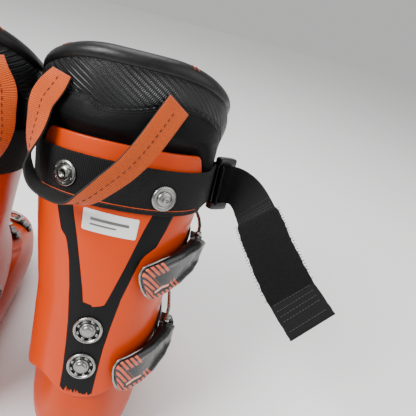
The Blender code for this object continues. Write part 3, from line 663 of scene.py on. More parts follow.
def make_decal():
    look = Look("decal_black", (0.006, 0.0062, 0.0065), 0.42, Specular_IOR_Level=0.12)
    fine = look.noise(1500.0, 3.0)
    look.rough(look.ramp(fine, (0.3, 0.34), (0.75, 0.5)))
    chips = look.noise(170.0, 5.0, look.space((1.0, 1.0, 0.45)), 0.75)
    look.color(look.ramp(chips, (0.0, (0.005, 0.0055, 0.006)), (0.715, (0.007, 0.007, 0.0075)),
            (0.745, (0.42, 0.05, 0.004))))
    look.bump(fine, 0.02, 0.4)
    return look.mat


def make_leather(name, color, roughness, grain=1500.0, depth=0.12, shine=0.3):
    look = Look(name, color, roughness, Specular_IOR_Level=shine)
    cells = look.node("ShaderNodeTexVoronoi", Vector=look.space(), Scale=grain, Randomness=1.0)
    look.bump(cells, depth, 0.45)
    creases = look.noise(130.0, 4.0, look.space((1.0, 1.0, 2.2)))
    look.bump(creases, 0.5, 0.3)
    look.rough(look.ramp(creases, (0.3, roughness - 0.07), (0.7, roughness + 0.1)))
    dark = tuple(c * 0.6 for c in color)
    look.color(look.mix(look.noise(35.0, 3.0), dark, tuple(c * 1.35 for c in color)))
    return look.mat


def make_carbon():
    """Embossed twill leather: short satin ribs stepped along a diagonal."""
    look = Look("liner_carbon", (0.006, 0.0063, 0.007), 0.36, Specular_IOR_Level=0.34)
    space = look.space((1.0, 1.0, 1.0), math.radians(-33.0), uv=True)
    ribs = look.wave(230.0, space, "X")
    cells = look.wave(190.0, look.space(turn=math.radians(57.0), uv=True), "X")
    blocks = look.math("GREATER_THAN", look.wave(88.0, space, "Y"), 0.5)
    threads = look.mix(blocks, ribs, cells)
    look.bump(threads, 0.5, 0.8)
    tone = look.ramp(threads, (0.15, (0.0025, 0.0028, 0.003)), (0.9, (0.014, 0.0145, 0.016)))
    look.color(look.mix(look.math("MULTIPLY", blocks, 0.5), tone, (0.003, 0.0033, 0.004)))
    look.rough(look.ramp(look.noise(70.0, 3.0), (0.35, 0.28), (0.7, 0.46)))
    return look.mat


def make_webbing(name, color, deep, pitch=1.1, roughness=0.72, sheen=0.15):
    """Woven tape: cross ribs, a fine warp and slightly fuzzy yarns. Its map runs along the tape."""
    look = Look(name, color, roughness, Sheen_Weight=sheen, Sheen_Roughness=0.5, Specular_IOR_Level=0.25)
    across = look.space(uv=True)
    ribs = look.wave(314.16 / pitch, across, "Y", distortion=0.6)
    warp = look.wave(280.0, across, "X", distortion=1.0)
    weave = look.math("MULTIPLY_ADD", warp, 0.35, ribs)
    look.bump(weave, 0.42, 0.8)
    tone = look.ramp(weave, (0.15, deep), (0.85, color))
    look.color(look.mix(look.math("MULTIPLY", look.noise(60.0, 4.0), 0.4), tone, deep))
    look.bump(look.noise(2600.0, 2.0), 0.06, 0.5)
    return look.mat


def make_pile():
    look = Look("loop_pile", (0.004, 0.004, 0.0042), 0.95, Sheen_Weight=0.04, Specular_IOR_Level=0.15)
    tufts = look.noise(1900.0, 5.0, None, 0.8)
    look.bump(tufts, 1.1, 1.0)
    fluff = look.noise(420.0, 6.0, None, 0.75)
    look.color(look.ramp(fluff, (0.45, (0.0025, 0.0025, 0.003)), (0.66, (0.006, 0.006, 0.0055)),
            (0.8, (0.03, 0.028, 0.026))))
    return look.mat


def make_metal(name, color, roughness, brushed=0.0):
    look = Look(name, color, roughness, 1.0)
    smudge = look.noise(240.0, 5.0, None, 0.7)
    look.rough(look.ramp(smudge, (0.35, roughness * 0.7), (0.75, roughness * 1.6)))
    look.color(look.mix(smudge, tuple(c * 0.82 for c in color), color))
    if brushed:
        look.bump(look.noise(900.0, 2.0, look.space((0.08, 1.0, 1.0))), 0.03, brushed)
    return look.mat


def make_coated(name, color, roughness, bump=0.05, coat=0.2, shine=0.45):
    look = Look(name, color, roughness, Coat_Weight=coat, Coat_Roughness=0.18, Specular_IOR_Level=shine)
    wear = look.noise(320.0, 5.0, None, 0.7)
    look.rough(look.ramp(wear, (0.4, roughness * 0.8), (0.72, roughness * 1.7)))
    look.color(look.mix(look.noise(90.0, 3.0), tuple(c * 0.75 for c in color), color))
    look.bump(wear, bump, 0.4)
    return look.mat


def make_print():
    """Lever face: black with slanted orange bars near the thumb end and a pinkish chevron that is a painted
    highlight. Its map is in metres.
    """
    look = Look("lever_print", (0.005, 0.0055, 0.006), 0.3, Coat_Weight=0.2, Coat_Roughness=0.2)
    node = look.nodes.new("ShaderNodeSeparateXYZ")
    look.links.new(look.coords.outputs["UV"], node.inputs[0])
    across, along = node.outputs[0], node.outputs[1]
    slant = look.math("MULTIPLY_ADD", across, 0.42, along)
    bars = look.math("LESS_THAN", look.math("FRACT", look.math("MULTIPLY", slant, 290.0)), 0.56)
    near = look.math("LESS_THAN", slant, 0.0235)
    start = look.math("GREATER_THAN", along, 0.0012)
    middle = look.math("LESS_THAN", look.math("ABSOLUTE", look.math("ADD", across, -0.0005)), 0.0058)
    hollow = look.math("MULTIPLY", middle, look.math("GREATER_THAN", slant, 0.0105))
    shown = look.math("MULTIPLY", look.math("MULTIPLY", bars, near), start)
    shown = look.math("MULTIPLY", shown, look.math("SUBTRACT", 1.0, hollow))
    low = look.math("ADD", across, 0.0074)
    dark = look.math("MULTIPLY", look.math("LESS_THAN", look.math("ABSOLUTE", low), 0.0026), look.math(
        "LESS_THAN", look.math("ABSOLUTE", look.math("ADD", along, -0.0125)), 0.0075))
    shown = look.math("MULTIPLY", shown, look.math("SUBTRACT", 1.0, dark))
    # Pinkish chevron mask (light) inside the dark strip: a painted highlight on the lever face.
    lean = look.math("MULTIPLY_ADD", look.math("ABSOLUTE", look.math("ADD", along, -0.0125)), 0.25, low)
    light = look.math("MULTIPLY", look.math("LESS_THAN", look.math("ABSOLUTE", look.math(
        "ADD", lean, -0.0014)), 0.0011), look.math(
        "LESS_THAN", look.math("ABSOLUTE", look.math("ADD", along, -0.0125)), 0.006))
    wear = look.noise(320.0, 5.0, None, 0.7)
    ink = look.mix(wear, (0.5, 0.055, 0.012), (0.72, 0.1, 0.03))
    color = look.mix(shown, (0.005, 0.0055, 0.006), ink)
    # The chevron is coloured pinkish over the print: painted highlight.
    look.color(look.mix(light, color, (0.8, 0.33, 0.24)))
    look.rough(look.ramp(wear, (0.4, 0.24), (0.72, 0.45)))
    look.bump(wear, 0.04, 0.4)
    return look.mat


def make_rubber():
    look = Look("sole_rubber", (0.012, 0.012, 0.0125), 0.78, Specular_IOR_Level=0.3)
    look.bump(look.noise(1400.0, 4.0), 0.12, 0.7)
    dust = look.noise(50.0, 6.0, None, 0.7)
    look.color(look.ramp(dust, (0.4, (0.008, 0.008, 0.0085)), (0.72, (0.026, 0.024, 0.022))))
    look.rough(look.ramp(dust, (0.35, 0.66), (0.75, 0.88)))
    return look.mat


def make_label():
    look = Look("label_paper", (0.8, 0.8, 0.78), 0.45)
    look.color(look.mix(look.noise(40.0, 4.0), (0.72, 0.72, 0.7), (0.86, 0.86, 0.85)))
    look.bump(look.noise(400.0, 3.0), 0.04, 0.4)
    return look.mat


def make_lining():
    """Brushed knit fabric inside the liner."""
    look = Look("liner_knit", (0.01, 0.01, 0.011), 0.9, Sheen_Weight=0.08)
    rows = look.wave(420.0, look.space(uv=True), "Y", distortion=1.5)
    look.bump(rows, 0.3, 0.6)
    look.bump(look.noise(1200.0, 4.0), 0.3, 0.6)
    look.color(look.ramp(look.noise(90.0, 4.0), (0.3, (0.006, 0.006, 0.007)), (0.8, (0.018, 0.018, 0.019))))
    return look.mat


ORANGE = plastic("cuff_orange", (0.6, 0.05, 0.0), (0.53, 0.04, 0.0), 0.32)
SHELL_ORANGE = plastic("shell_orange", (0.52, 0.045, 0.0), (0.46, 0.036, 0.0), 0.36)
DECAL = make_decal()
LEATHER = make_leather("liner_leather", (0.006, 0.006, 0.0065), 0.34)
MATTE = make_leather("liner_panel", (0.0028, 0.0028, 0.003), 0.5, 1100.0, 0.2, 0.12)
CARBON = make_carbon()
LINING = make_lining()
STRAP = make_webbing("strap_webbing", (0.0055, 0.0052, 0.0052), (0.002, 0.002, 0.0022), 1.3, 0.8, 0.03)
PILE = make_pile()
TAPE = make_webbing("loop_tape", (0.66, 0.1, 0.004), (0.36, 0.04, 0.001), 1.25)
# Near-black back face of the tape loops: painted shade on the insides of the loops.
TAPE_BACK_SHADE = make_webbing("loop_tape_back_shade", (0.007, 0.0065, 0.006), (0.0025, 0.0025, 0.0025), 1.25, 0.8, 0.03)
THREAD = make_webbing("thread_black", (0.006, 0.006, 0.006), (0.003, 0.003, 0.003), 0.6)
THREAD_GREY = make_webbing("thread_grey", (0.06, 0.06, 0.06), (0.02, 0.02, 0.02), 0.6)
THREAD_ORANGE = make_webbing("thread_orange", (0.75, 0.1, 0.012), (0.4, 0.05, 0.005), 0.6)
STEEL = make_metal("steel", (0.33, 0.33, 0.315), 0.26, 0.3)
# Dark steel: the catch plates' own colour, and painted shade in the spine bolts' recesses.
DARK_STEEL_AND_SHADE = make_metal("dark_steel_and_shade", (0.055, 0.057, 0.052), 0.34)
GREY_BAR = make_metal("grey_bar", (0.22, 0.23, 0.22), 0.45)
BLACK = make_coated("black_plastic", (0.006, 0.006, 0.0065), 0.34)
LEVER = make_coated("lever_black", (0.004, 0.0043, 0.0045), 0.34, 0.05, 0.03, 0.2)
PRINT = make_print()
RUBBER = make_rubber()
LABEL = make_label()


# ---- shell, cuff and soles

def build_shell():
    """Lower shell with the lateral flap lying over the medial one along the instep."""
    bm = new_mesh()
    edge = -12.0
    angles = [math.radians(a) for a in (
        spread(edge, 40.0, 22) + spread(42.5, 165.0, 40) + spread(168.0, 192.0, 12)
        + spread(195.0, 345.0, 48) + [346.6, 347.4, 347.9])]
    heights = [19.0, 20.5, 22.5, 25.0, 28.0, 30.0, 31.5, 33.0] + spread(36.0, 166.9, 52)

    def height_at(row, theta):
        rim = 150.0 + 17.0 * (1.0 - smoothstep(40.0, 75.0, from_rear(theta)))
        return min(heights[row], rim) if heights[row] < 149.0 else 149.0 + (rim - 149.0) * (
            heights[row] - 149.0) / 17.9

    def lift(height, theta, place):
        turn = (math.degrees(theta) + 180.0) % 360.0 - 180.0
        flap = (1.0 - smoothstep(38.0, 66.0, turn)) * (1.0 if turn >= edge - 0.01 else 0.0)
        rise = 2.4 * flap * smoothstep(61.0, 69.0, height)
        shaft = shaft_height(place)
        if shaft > 0.0:
            section = shaft_section(shaft)
            rise *= 1.0 - smoothstep(-26.0, -16.0, shaft - cuff_bottom(section.angle(place)))
        rib = 1.3 * (smoothstep(33.0, 37.0, height) - smoothstep(39.0, 45.0, height))
        return rise + rib * 0.5

    outer, inner = [], []
    for i in range(len(heights)):
        top, low = [], []
        for theta in angles:
            height = height_at(i, theta)
            place = shell_surface(height, theta)
            out = outward(shell_size, shell_section(height).point(theta))
            top.append(place + out * lift(height, theta, place))
            low.append(place - out * (SHELL_WALL if height > 24.0 else 3.0))
        outer.append(top)
        inner.append(low)
    slab(bm, outer, inner, wrap=True, floor=True)
    emit("shell", bm, "shell_body", [SHELL_ORANGE], ["lower_shell"], bevel=0.5, limit=55.0)


def build_cuff():
    """Cuff whose medial flap thins out and lies over the lateral one at the front."""
    bm = new_mesh()
    angles = [math.radians(a) for a in spread(46.0, 120.0, 38) + spread(121.7, 240.0, 70)
              + spread(242.0, 388.0, 73)
              + spread(390.0, 413.0, 14)]
    shares = spread(0.0, 1.0, 46)

    def point(share, theta, depth):
        turn = math.degrees(theta)
        over = smoothstep(FLAP_END - 1.0, 404.0, turn)
        low = cuff_bottom(theta) + 3.0 * over
        height = low + (cuff_top(theta) - 3.0 * over - low) * share
        wall = CUFF_WALL - 2.0 * over
        off = 2.5 * over
        return cuff_surface(height, theta, off - depth * wall)

    outer = [[point(f, t, 0.0) for t in angles] for f in shares]
    inner = [[point(f, t, 1.0) for t in angles] for f in shares]
    slab(bm, outer, inner)
    emit("cuff", bm, "cuff_body", [ORANGE], ["cuff"], bevel=0.9, segments=3)


V_LEFT = ((8.6, -16.0, -4.0), (28.0, -16.0, -4.0), (51.0, -17.0, -3.5), (70.0, -18.3, -3.0),
        (86.5, -20.3, -2.5),
          (87.5, -20.5, -9.6), (98.0, -21.6, -11.8), (118.0, -25.0, -17.0), (130.0, -28.3, -20.2),
          (134.5, -30.2, -21.4),
          (139.0, -34.6, -22.7), (154.0, -39.6, -27.2), (166.0, -41.5, -30.6))
V_RIGHT = ((8.6, -4.0, 9.2), (28.0, -4.0, 10.0), (51.0, -3.5, 11.2), (70.0, -3.0, 13.6), (86.0, -2.5, 16.0),
           (87.0, 5.6, 16.2), (94.0, 8.0, 17.2), (105.0, 11.2, 20.0), (118.0, 15.0, 23.2),
           (127.0, 17.4, 26.0),
           (131.0, 18.5, 28.6), (137.0, 20.0, 35.0), (151.0, 23.8, 40.0), (166.0, 28.8, 44.5))


def build_decal():
    """Printed V on the back of the cuff: two arms that meet below, with a chipped lower edge."""
    bm = new_mesh()
    for table in (V_LEFT, V_RIGHT):
        rows = []
        for height in spread(table[0][0], table[-1][0], 120):
            at = max(k for k in range(len(table) - 1) if table[k][0] <= height + 1e-6)
            low, high = table[at], table[at + 1]
            share = (height - low[0]) / (high[0] - low[0])
            left, right = (low[k] + (high[k] - low[k]) * share for k in (1, 2))
            row = []
            for across in spread(left, right, 15):
                chip = (noise.noise(Vector((across * 0.9, 3.1, 0.0)))
                        + 0.6 * noise.noise(Vector((across * 2.7, 9.4, 0.0))))
                rise = max(chip, 0.0) * 7.0 * (1.0 - smoothstep(8.6, 20.0, height))
                bottom = cuff_bottom(math.pi) + 2.6 + (9.2 - across) * 0.06
                row.append(cuff_at(max(height, bottom) + rise, across, 0.12))
            rows.append(row)
        grid(bm, rows)
    emit("spine_print", bm, "cuff_body", [DECAL], after=lambda o: thicken(o, 0.14))


def thicken(obj, thickness):
    change = obj.modifiers.new("thickness", "SOLIDIFY")
    change.thickness = thickness * MM
    change.offset = -1.0
    bpy.context.view_layer.update()


def build_label():
    """Blank paper label with plain bars instead of any print."""
    bm = new_mesh()
    corners = ((144.0, -20.0), (142.2, 19.0), (158.0, 19.3), (160.0, -20.8))

    def place(x, y, off):
        cut = 1.3
        inset_x = 0.0
        for side in (0.0, 1.0):
            away = abs(y - side) * 16.0
            if away < cut:
                inset_x = (cut - math.sqrt(max(cut * cut - (cut - away) ** 2, 0.0))) / 39.0
        x = min(max(x, inset_x), 1.0 - inset_x)
        low = [corners[0][k] + (corners[1][k] - corners[0][k]) * x for k in (0, 1)]
        high = [corners[3][k] + (corners[2][k] - corners[3][k]) * x for k in (0, 1)]
        return cuff_at(low[0] + (high[0] - low[0]) * y, low[1] + (high[1] - low[1]) * y, off)

    steps = [0.0, 0.01, 0.03, 0.06] + spread(0.1, 0.9, 16) + [0.94, 0.97, 0.99, 1.0]
    rows = [0.0, 0.02, 0.05, 0.09] + spread(0.15, 0.85, 8) + [0.91, 0.95, 0.98, 1.0]
    outer = [[place(x, y, 0.2) for x in steps] for y in rows]
    inner = [[place(x, y, 0.05) for x in steps] for y in rows]
    slab(bm, outer, inner)
    for low, high, left, right in ((0.52, 0.66, 0.14, 0.84), (0.3, 0.38, 0.14, 0.62)):
        rows = [[place(x, y, off) for x in spread(left, right, 16)] for y, off in ((low, 0.24), (high, 0.24))]
        grid(bm, rows, lambda i, j: 1)
    emit("label", bm, "cuff_body", [LABEL, GREY_BAR])


def nose_points(end, direction, half_width, power, reach=46.0):
    points = []
    for theta in spread(-90.0, 90.0, 25):
        along = max(math.cos(math.radians(theta)), 0.0) ** (2.0 / power)
        across = signed_power(math.sin(math.radians(theta)), 2.0 / power)
        points.append((half_width * across * direction, end - reach * (1.0 - along) * direction))
    return points


def build_soles():
    """Walking pads: rubber tread under a firm plate, with a groove between and cross channels below."""
    toe = nose_points(SOLE_LENGTH, 1.0, TOE_WIDTH / 2.0, 2.6) + [(34.5, 166.0), (-34.5, 166.0)]
    heel = nose_points(0.0, -1.0, HEEL_WIDTH / 2.0, 2.8) + [(-35.0, 104.0), (35.0, 104.0)]
    profile = ((0.0, 1.0), (0.4, 0.3), (1.2, 0.0), (8.2, 0.0), (8.6, 0.5), (9.2, 0.9), (9.8, 0.5),
            (10.2, 0.0),
               (17.4, 0.0), (18.3, 0.3), (18.7, 1.0))
    for name, outline, middle in (("toe_sole", toe, 238.0), ("heel_sole", heel, 52.0)):
        bm = new_mesh()
        half = max(u for u, _ in outline)
        length = max(abs(v - middle) for _, v in outline)
        rings = []
        for z, inset in profile:
            rings.append([
                Vector((u * (1.0 - inset / half), middle + (v - middle) * (1.0 - inset / length), z))
                          for u, v in outline])
        verts = grid(bm, rings, wrap=True)
        quad(bm, list(reversed(verts[0])))
        quad(bm, verts[-1])
        emit(name, bm, "shell_body", [RUBBER], [name])
        bm = new_mesh()
        start, end = (172.0, 300.0) if name == "toe_sole" else (10.0, 98.0)
        at = start
        while at < end:
            for side in (-1.0, 1.0):
                wide = half - (1.0 if 40.0 < at < 270.0 else 11.0)
                corners = [Vector((side * u, at + v, 3.4))
                           for u, v in ((wide, 0.0), (wide, 5.0), (wide - 2.0, 5.0), (wide - 2.0, 0.0))]
                rings = [[Vector((c.x, c.y, z)) + Vector((side * out, 0.0, 0.0)) for c in corners]
                         for z, out in ((2.0, 1.2), (4.0, 1.6), (14.5, 1.6), (15.5, 1.2))]
                if 40.0 < at < 270.0:
                    loft(bm, rings)
            at += 9.0
        emit(f"{name}_lugs", bm, "shell_body", [RUBBER], bevel=0.4)


# ---- fasteners

def washer(bm, origin, axis, radius, aside, notches=8, slot=0, dark=1):
    """Stamped washer: domed rim, sunk ring with raised pads, centre boss with a hex socket. The sunk ring's
    floor takes the dark slot as painted shade in the recess.
    """
    turned(bm, origin, axis,
            ((radius, 0.0), (radius, 0.9), (radius - 0.5, 1.7), (radius - 1.4, 2.0), (radius - 2.1, 1.7),
                              (radius - 2.4, 0.6), (0.4, 0.6)), 40, slot, aside)
    # Floor of the sunk ring in the dark slot: painted shade in the recess.
    turned(bm, origin, axis, ((radius - 2.5, 0.5), (radius - 2.5, 0.85), (0.4, 0.85)), 40, dark, aside)
    turned(bm, origin, axis,
            ((radius * 0.55, 0.5), (radius * 0.52, 1.6), (radius * 0.47, 2.0), (radius * 0.2, 2.1)), 40, slot)
    x, y, z = basis(axis)
    for k in range(notches):
        turn = math.tau * (k + 0.5) / notches
        out = x * math.cos(turn) + y * math.sin(turn)
        across = z.cross(out)
        middle = origin + out * radius * 0.68
        rings = []
        for height, wide, deep in ((0.7, 1.25, 0.95), (1.25, 1.15, 0.85), (1.45, 0.9, 0.6)):
            rings.append([middle + z * height + across * a * wide + out * b * deep
                          for a, b in ((-1, -1), (1, -1), (1, 1), (-1, 1))])
        loft(bm, rings, slot)


def screw_head(bm, origin, axis, radius, slot=0, dark=1):
    """Low domed head with a six-sided socket; the socket's walls and floor take the dark slot as painted
    shade.
    """
    turned(bm, origin, axis,
            ((radius, 0.0), (radius, 0.6), (radius * 0.94, 1.1), (radius * 0.8, 1.6), (radius * 0.62, 1.9),
                              (radius * 0.5, 1.95)), 32, slot)
    x, y, z = basis(axis)
    hexagon = [(math.cos(math.tau * k / 6), math.sin(math.tau * k / 6)) for k in range(6)]
    rings = []
    for rise, reach in ((1.97, radius * 0.5), (0.5, radius * 0.46)):
        rings.append([origin + z * rise + (x * a + y * b) * reach for a, b in hexagon])
    # Socket walls and floor in the dark slot: painted shade in the recess.
    grid(bm, rings, lambda i, j: dark, wrap=True)
    quad(bm, [bm.verts.new(p) for p in rings[1]], dark)
    turns = spread(0.0, math.tau * 23 / 24, 24)
    lip = []
    for rise, reach in ((1.96, 0.52), (1.98, 0.4)):
        lip.append([origin + z * rise + (x * math.cos(t) + y * math.sin(t)) * radius * reach for t in turns])
    grid(bm, lip, lambda i, j: slot, wrap=True)


def build_fasteners():
    for name, height in zip(("lower", "upper"), BOLT_HEIGHTS):
        bm = new_mesh()
        place = cuff_at(height, -2.4, 0.3)
        washer(bm, place, REARWARD, 11.2, SHAFT_UP)
        screw_head(bm, place + REARWARD * 1.9, REARWARD, 4.6)
        # Second slot: painted shade in the washers' sunk rings and the screws' sockets.
        emit(f"spine_bolt_{name}", bm, "cuff_body", [STEEL, DARK_STEEL_AND_SHADE], [f"spine_bolt_{name}"])
    for name, height, across in (("left", 180.5, -36.0), ("right", 176.5, 31.5)):
        bm = new_mesh()
        place = cuff_at(height, across, STRAP_THICK + 1.2)
        axis = outward(cuff_size, place)
        turned(bm, place, axis, ((9.6, 0.0), (9.6, 0.7), (9.0, 1.4), (7.9, 1.7), (6.6, 1.2), (5.9, 1.1)), 36)
        turned(bm, place, axis,
                ((5.9, 1.0), (5.6, 1.9), (4.9, 2.6), (3.6, 3.1), (2.2, 3.2), (2.0, 2.4), (0.3, 2.3)), 32)
        for k in range(6):
            x, y, _ = basis(axis)
            turn = math.tau * k / 6.0
            out = x * math.cos(turn) + y * math.sin(turn)
            turned(bm, place + out * 7.3 + axis * 1.2, axis, ((0.85, 0.0), (0.7, 0.45), (0.3, 0.6)), 8)
        emit(f"strap_screw_{name}", bm, "cuff_body", [STEEL])
    half = shaft_section(shaft_height(Vector((0.0, *PIVOT)))).half_width
    for name, turn in (("lateral", 1.0), ("medial", -1.0)):
        bm = new_mesh()
        origin = Vector((turn * (half + 0.3), *PIVOT))
        axis = Vector((turn, 0.0, 0.0))
        turned(bm, origin, axis,
                ((10.5, 0.0), (10.5, 1.0), (9.9, 1.9), (8.8, 2.5), (7.6, 2.5), (7.2, 1.6), (5.4, 1.5),
                (5.2, 2.4),
                                  (4.6, 2.7), (3.1, 2.7), (2.9, 1.0), (0.3, 0.9)), 40)
        emit(f"ankle_pivot_{name}", bm, "shell_body", [STEEL], [f"ankle_pivot_{name}"])


# ---- liner

def inflate(bm, pinned, cap):
    """Cloth simulation: a copy of the pad is blown up between its pinned seams, and the pad's own
    points follow it by at most cap."""
    bm.verts.index_update()
    bmesh.ops.recalc_face_normals(bm, faces=bm.faces)
    data = bpy.data.meshes.new("pad")
    bm.to_mesh(data)
    data.transform(Matrix.Scale(MM, 4))
    pad = bpy.data.objects.new("pad", data)
    scene = bpy.context.scene
    scene.collection.objects.link(pad)
    pad.vertex_groups.new(name="seams").add([v.index for v in pinned], 1.0, "REPLACE")
    cloth = pad.modifiers.new("cloth", "CLOTH")
    cloth.settings.use_pressure = True
    cloth.settings.uniform_pressure_force = 4.0
    cloth.settings.vertex_group_mass = "seams"
    cloth.settings.effector_weights.gravity = 0.0
    cloth.point_cache.frame_start, cloth.point_cache.frame_end = 1, 20
    for frame in range(1, 21):
        scene.frame_set(frame)
    settled = pad.evaluated_get(bpy.context.evaluated_depsgraph_get()).data
    for vert in bm.verts:
        move = settled.vertices[vert.index].co / MM - vert.co
        vert.co += move * min(1.0, cap / max(move.length, 0.001))
    bpy.data.objects.remove(pad)
    bpy.data.meshes.remove(data)
    scene.frame_set(1)


COLLAR_SWELL, TONGUE_SWELL = 1.3, 1.2
ROLL_RADIUS = 7.4
CARBON_SEAM = (
    (24.0, 186.0), (45.0, 190.0), (70.0, 199.0), (95.0, 213.0), (120.0, 231.0), (135.0, 238.0),
    (150.0, 241.0),
    (167.0, 239.0), (177.0, 234.5), (187.0, 231.0), (194.0, 231.0), (201.0, 234.0), (210.0, 236.5),
    (222.0, 236.0),
    (240.0, 230.0), (265.0, 213.0), (290.0, 199.0), (315.0, 190.0), (336.0, 186.0),
)
COLLAR_EDGE = THROAT + 1.4


def roll_top(theta):
    """Height of the rolled rim's top, lower towards the front."""
    return 271.5 - 32.0 * smoothstep(15.0, 140.0, from_rear(theta))


def collar_profile(theta):
    """Closed outline of the collar at one angle as (height, offset, material slot)."""
    degrees = math.degrees(theta)
    top = roll_top(theta)
    base = top - 11.0
    seam = row_at(CARBON_SEAM, degrees)[1]
    rim = cuff_top(theta)
    low = rim - 12.0
    seam = max(seam, rim + 8.0)
    points = []

    def skin(height):
        return -5.4 + 5.6 * smoothstep(rim + 0.5, rim + 11.0, height)

    for share in spread(0.0, 1.0, 12):
        height = low + (seam - low) * share
        crown = 1.5 * math.sin(math.pi * smoothstep(rim, seam, height)) ** 0.7
        points.append((height, skin(height) + crown - 1.3 * smoothstep(0.93, 1.0, share), 0))
    for share in spread(0.035, 1.0, 14):
        height = seam + (base - seam) * share
        crown = 2.3 * math.sin(math.pi * share) ** 0.55
        points.append((height, -0.9 + crown, 1))
    middle, radius = top - ROLL_RADIUS, ROLL_RADIUS
    for turn in spread(-31.0, 211.0, 22):
        a = math.radians(turn)
        points.append((middle + radius * math.sin(a), -6.2 + radius * math.cos(a), 2))
    points.append((base - 1.0, -11.6, 3))
    for share in spread(0.06, 1.0, 12):
        height = base - 1.0 + (low - base) * share
        crown = 1.6 * math.sin(math.pi * share) ** 0.6
        thick = 12.0 + 1.4 * smoothstep(rim + 10.0, rim, height)
        points.append((height, -thick - crown, 3))
    return points


def wrinkle(point, scale, amount):
    return amount * (noise.noise(point * scale) + 0.5 * noise.noise(point * scale * 2.3))


def build_collar():
    """Padded collar of the liner: lower panel, embossed upper panel and the rolled rim."""
    bm = new_mesh()
    last = 360.0 - COLLAR_EDGE
    angles = spread(COLLAR_EDGE, last, 150)
    rows, slots = [], None
    for k, degrees in enumerate(angles):
        theta = math.radians(degrees)
        profile = collar_profile(theta)
        away = min(k, len(angles) - 1 - k)
        shrink = (0.35, 0.72, 0.92, 1.0)[min(away, 3)]
        middle = sum(p[1] for p in profile) / len(profile)
        row = []
        for height, off, _ in profile:
            off = middle + (off - middle) * shrink
            height = profile[0][0] + (height - profile[0][0]) * (1.0 - 0.03 * (1.0 - shrink))
            place = cuff_surface(height, theta, off)
            row.append(place + (cuff_surface(height, theta, off + 1.0) - place) * wrinkle(place, 0.035, 0.5))
        rows.append(row)
        slots = [p[2] for p in profile]
    count = len(slots)
    coords = []
    run = 0.0
    for k, row in enumerate(rows):
        if k:
            run += (row[20] - rows[k - 1][20]).length
        climb = [0.0]
        for j in range(1, count + 1):
            climb.append(climb[-1] + (row[j % count] - row[j - 1]).length)
        coords.append([(run, rise - climb[25]) for rise in climb])
    verts = grid(bm, rows, lambda i, j: slots[min(j + 1, count - 1)], wrap=True, coords=coords)
    quad(bm, list(reversed(verts[0])), 0)
    quad(bm, verts[-1], 0)
    hidden = 7
    seams = [j for j in range(count) if j < hidden or j > count - hidden or len(set(slots[j - 2:j + 1])) > 1]
    pinned = verts[0] + verts[1] + verts[-2] + verts[-1] + [row[j] for row in verts[2:-2] for j in seams]
    inflate(bm, pinned, COLLAR_SWELL)
    emit("liner_collar", bm, "cuff_body", [MATTE, CARBON, LEATHER, LINING], subdivide=1,
         after=lambda o: o)


def build_liner():
    """Foot and ankle of the liner, from the sole to where the collar begins."""
    bm = new_mesh()
    angles = [math.radians(a) for a in spread(COLLAR_EDGE, 360.0 - COLLAR_EDGE, 72)] + [0.0]
    rows = spread(0.0, 10.9, 46)
    outer = [[liner_at(r, t, 0.0) for t in angles] for r in rows]
    inner = [[liner_at(r, t, 1.0) for t in angles] for r in rows]
    last = len(angles) - 1
    top = [[bm.verts.new(p) for p in row] for row in outer]
    low = [[bm.verts.new(p) for p in row] for row in inner]
    borders = {}
    for i in range(len(rows) - 1):
        for j in range(last + 1):
            if rows[i] >= 4.0 and j >= last - 1:
                continue
            right = (j + 1) % (last + 1)
            ring = ((i, j), (i, right), (i + 1, right), (i + 1, j))
            quad(bm, [top[a][b] for a, b in ring], 0, [(b * 3.0, a * 6.0) for a, b in ring])
            quad(bm, [low[a][b] for a, b in reversed(ring)], 1,
                    [(b * 3.0, a * 6.0) for a, b in reversed(ring)])
            for k in range(4):
                a, b = ring[k], ring[(k + 1) % 4]
                if (b, a) in borders:
                    del borders[(b, a)]
                else:
                    borders[(a, b)] = True
    for a, b in borders:
        if a[0] or b[0]:
            quad(bm, (top[b[0]][b[1]], top[a[0]][a[1]], low[a[0]][a[1]], low[b[0]][b[1]]), 0)
    quad(bm, list(reversed(top[0])), 0)
    quad(bm, low[0], 1)
    bmesh.ops.delete(bm, geom=[v for v in bm.verts if not v.link_faces], context="VERTS")
    emit("liner_boot", bm, ("shell_body", "cuff_body", (0.0, 90.0, 100.0), (0.0, 105.0, 165.0)),
         [MATTE, LINING], ["liner"], after=lambda o: o)


def tongue_place(row, degrees, depth, puff=0.0):
    """Point of the tongue: depth 0 outside, 1 inside; it rises a little above the collar."""
    theta = math.radians(degrees)
    place = liner_at(min(row, 15.0), theta, depth)
    out = (liner_at(min(row, 15.0), theta, 0.0) - liner_at(min(row, 15.0), theta, 1.0)).normalized()
    return place + out * puff + SHAFT_UP * max(row - 15.0, 0.0) * 9.0


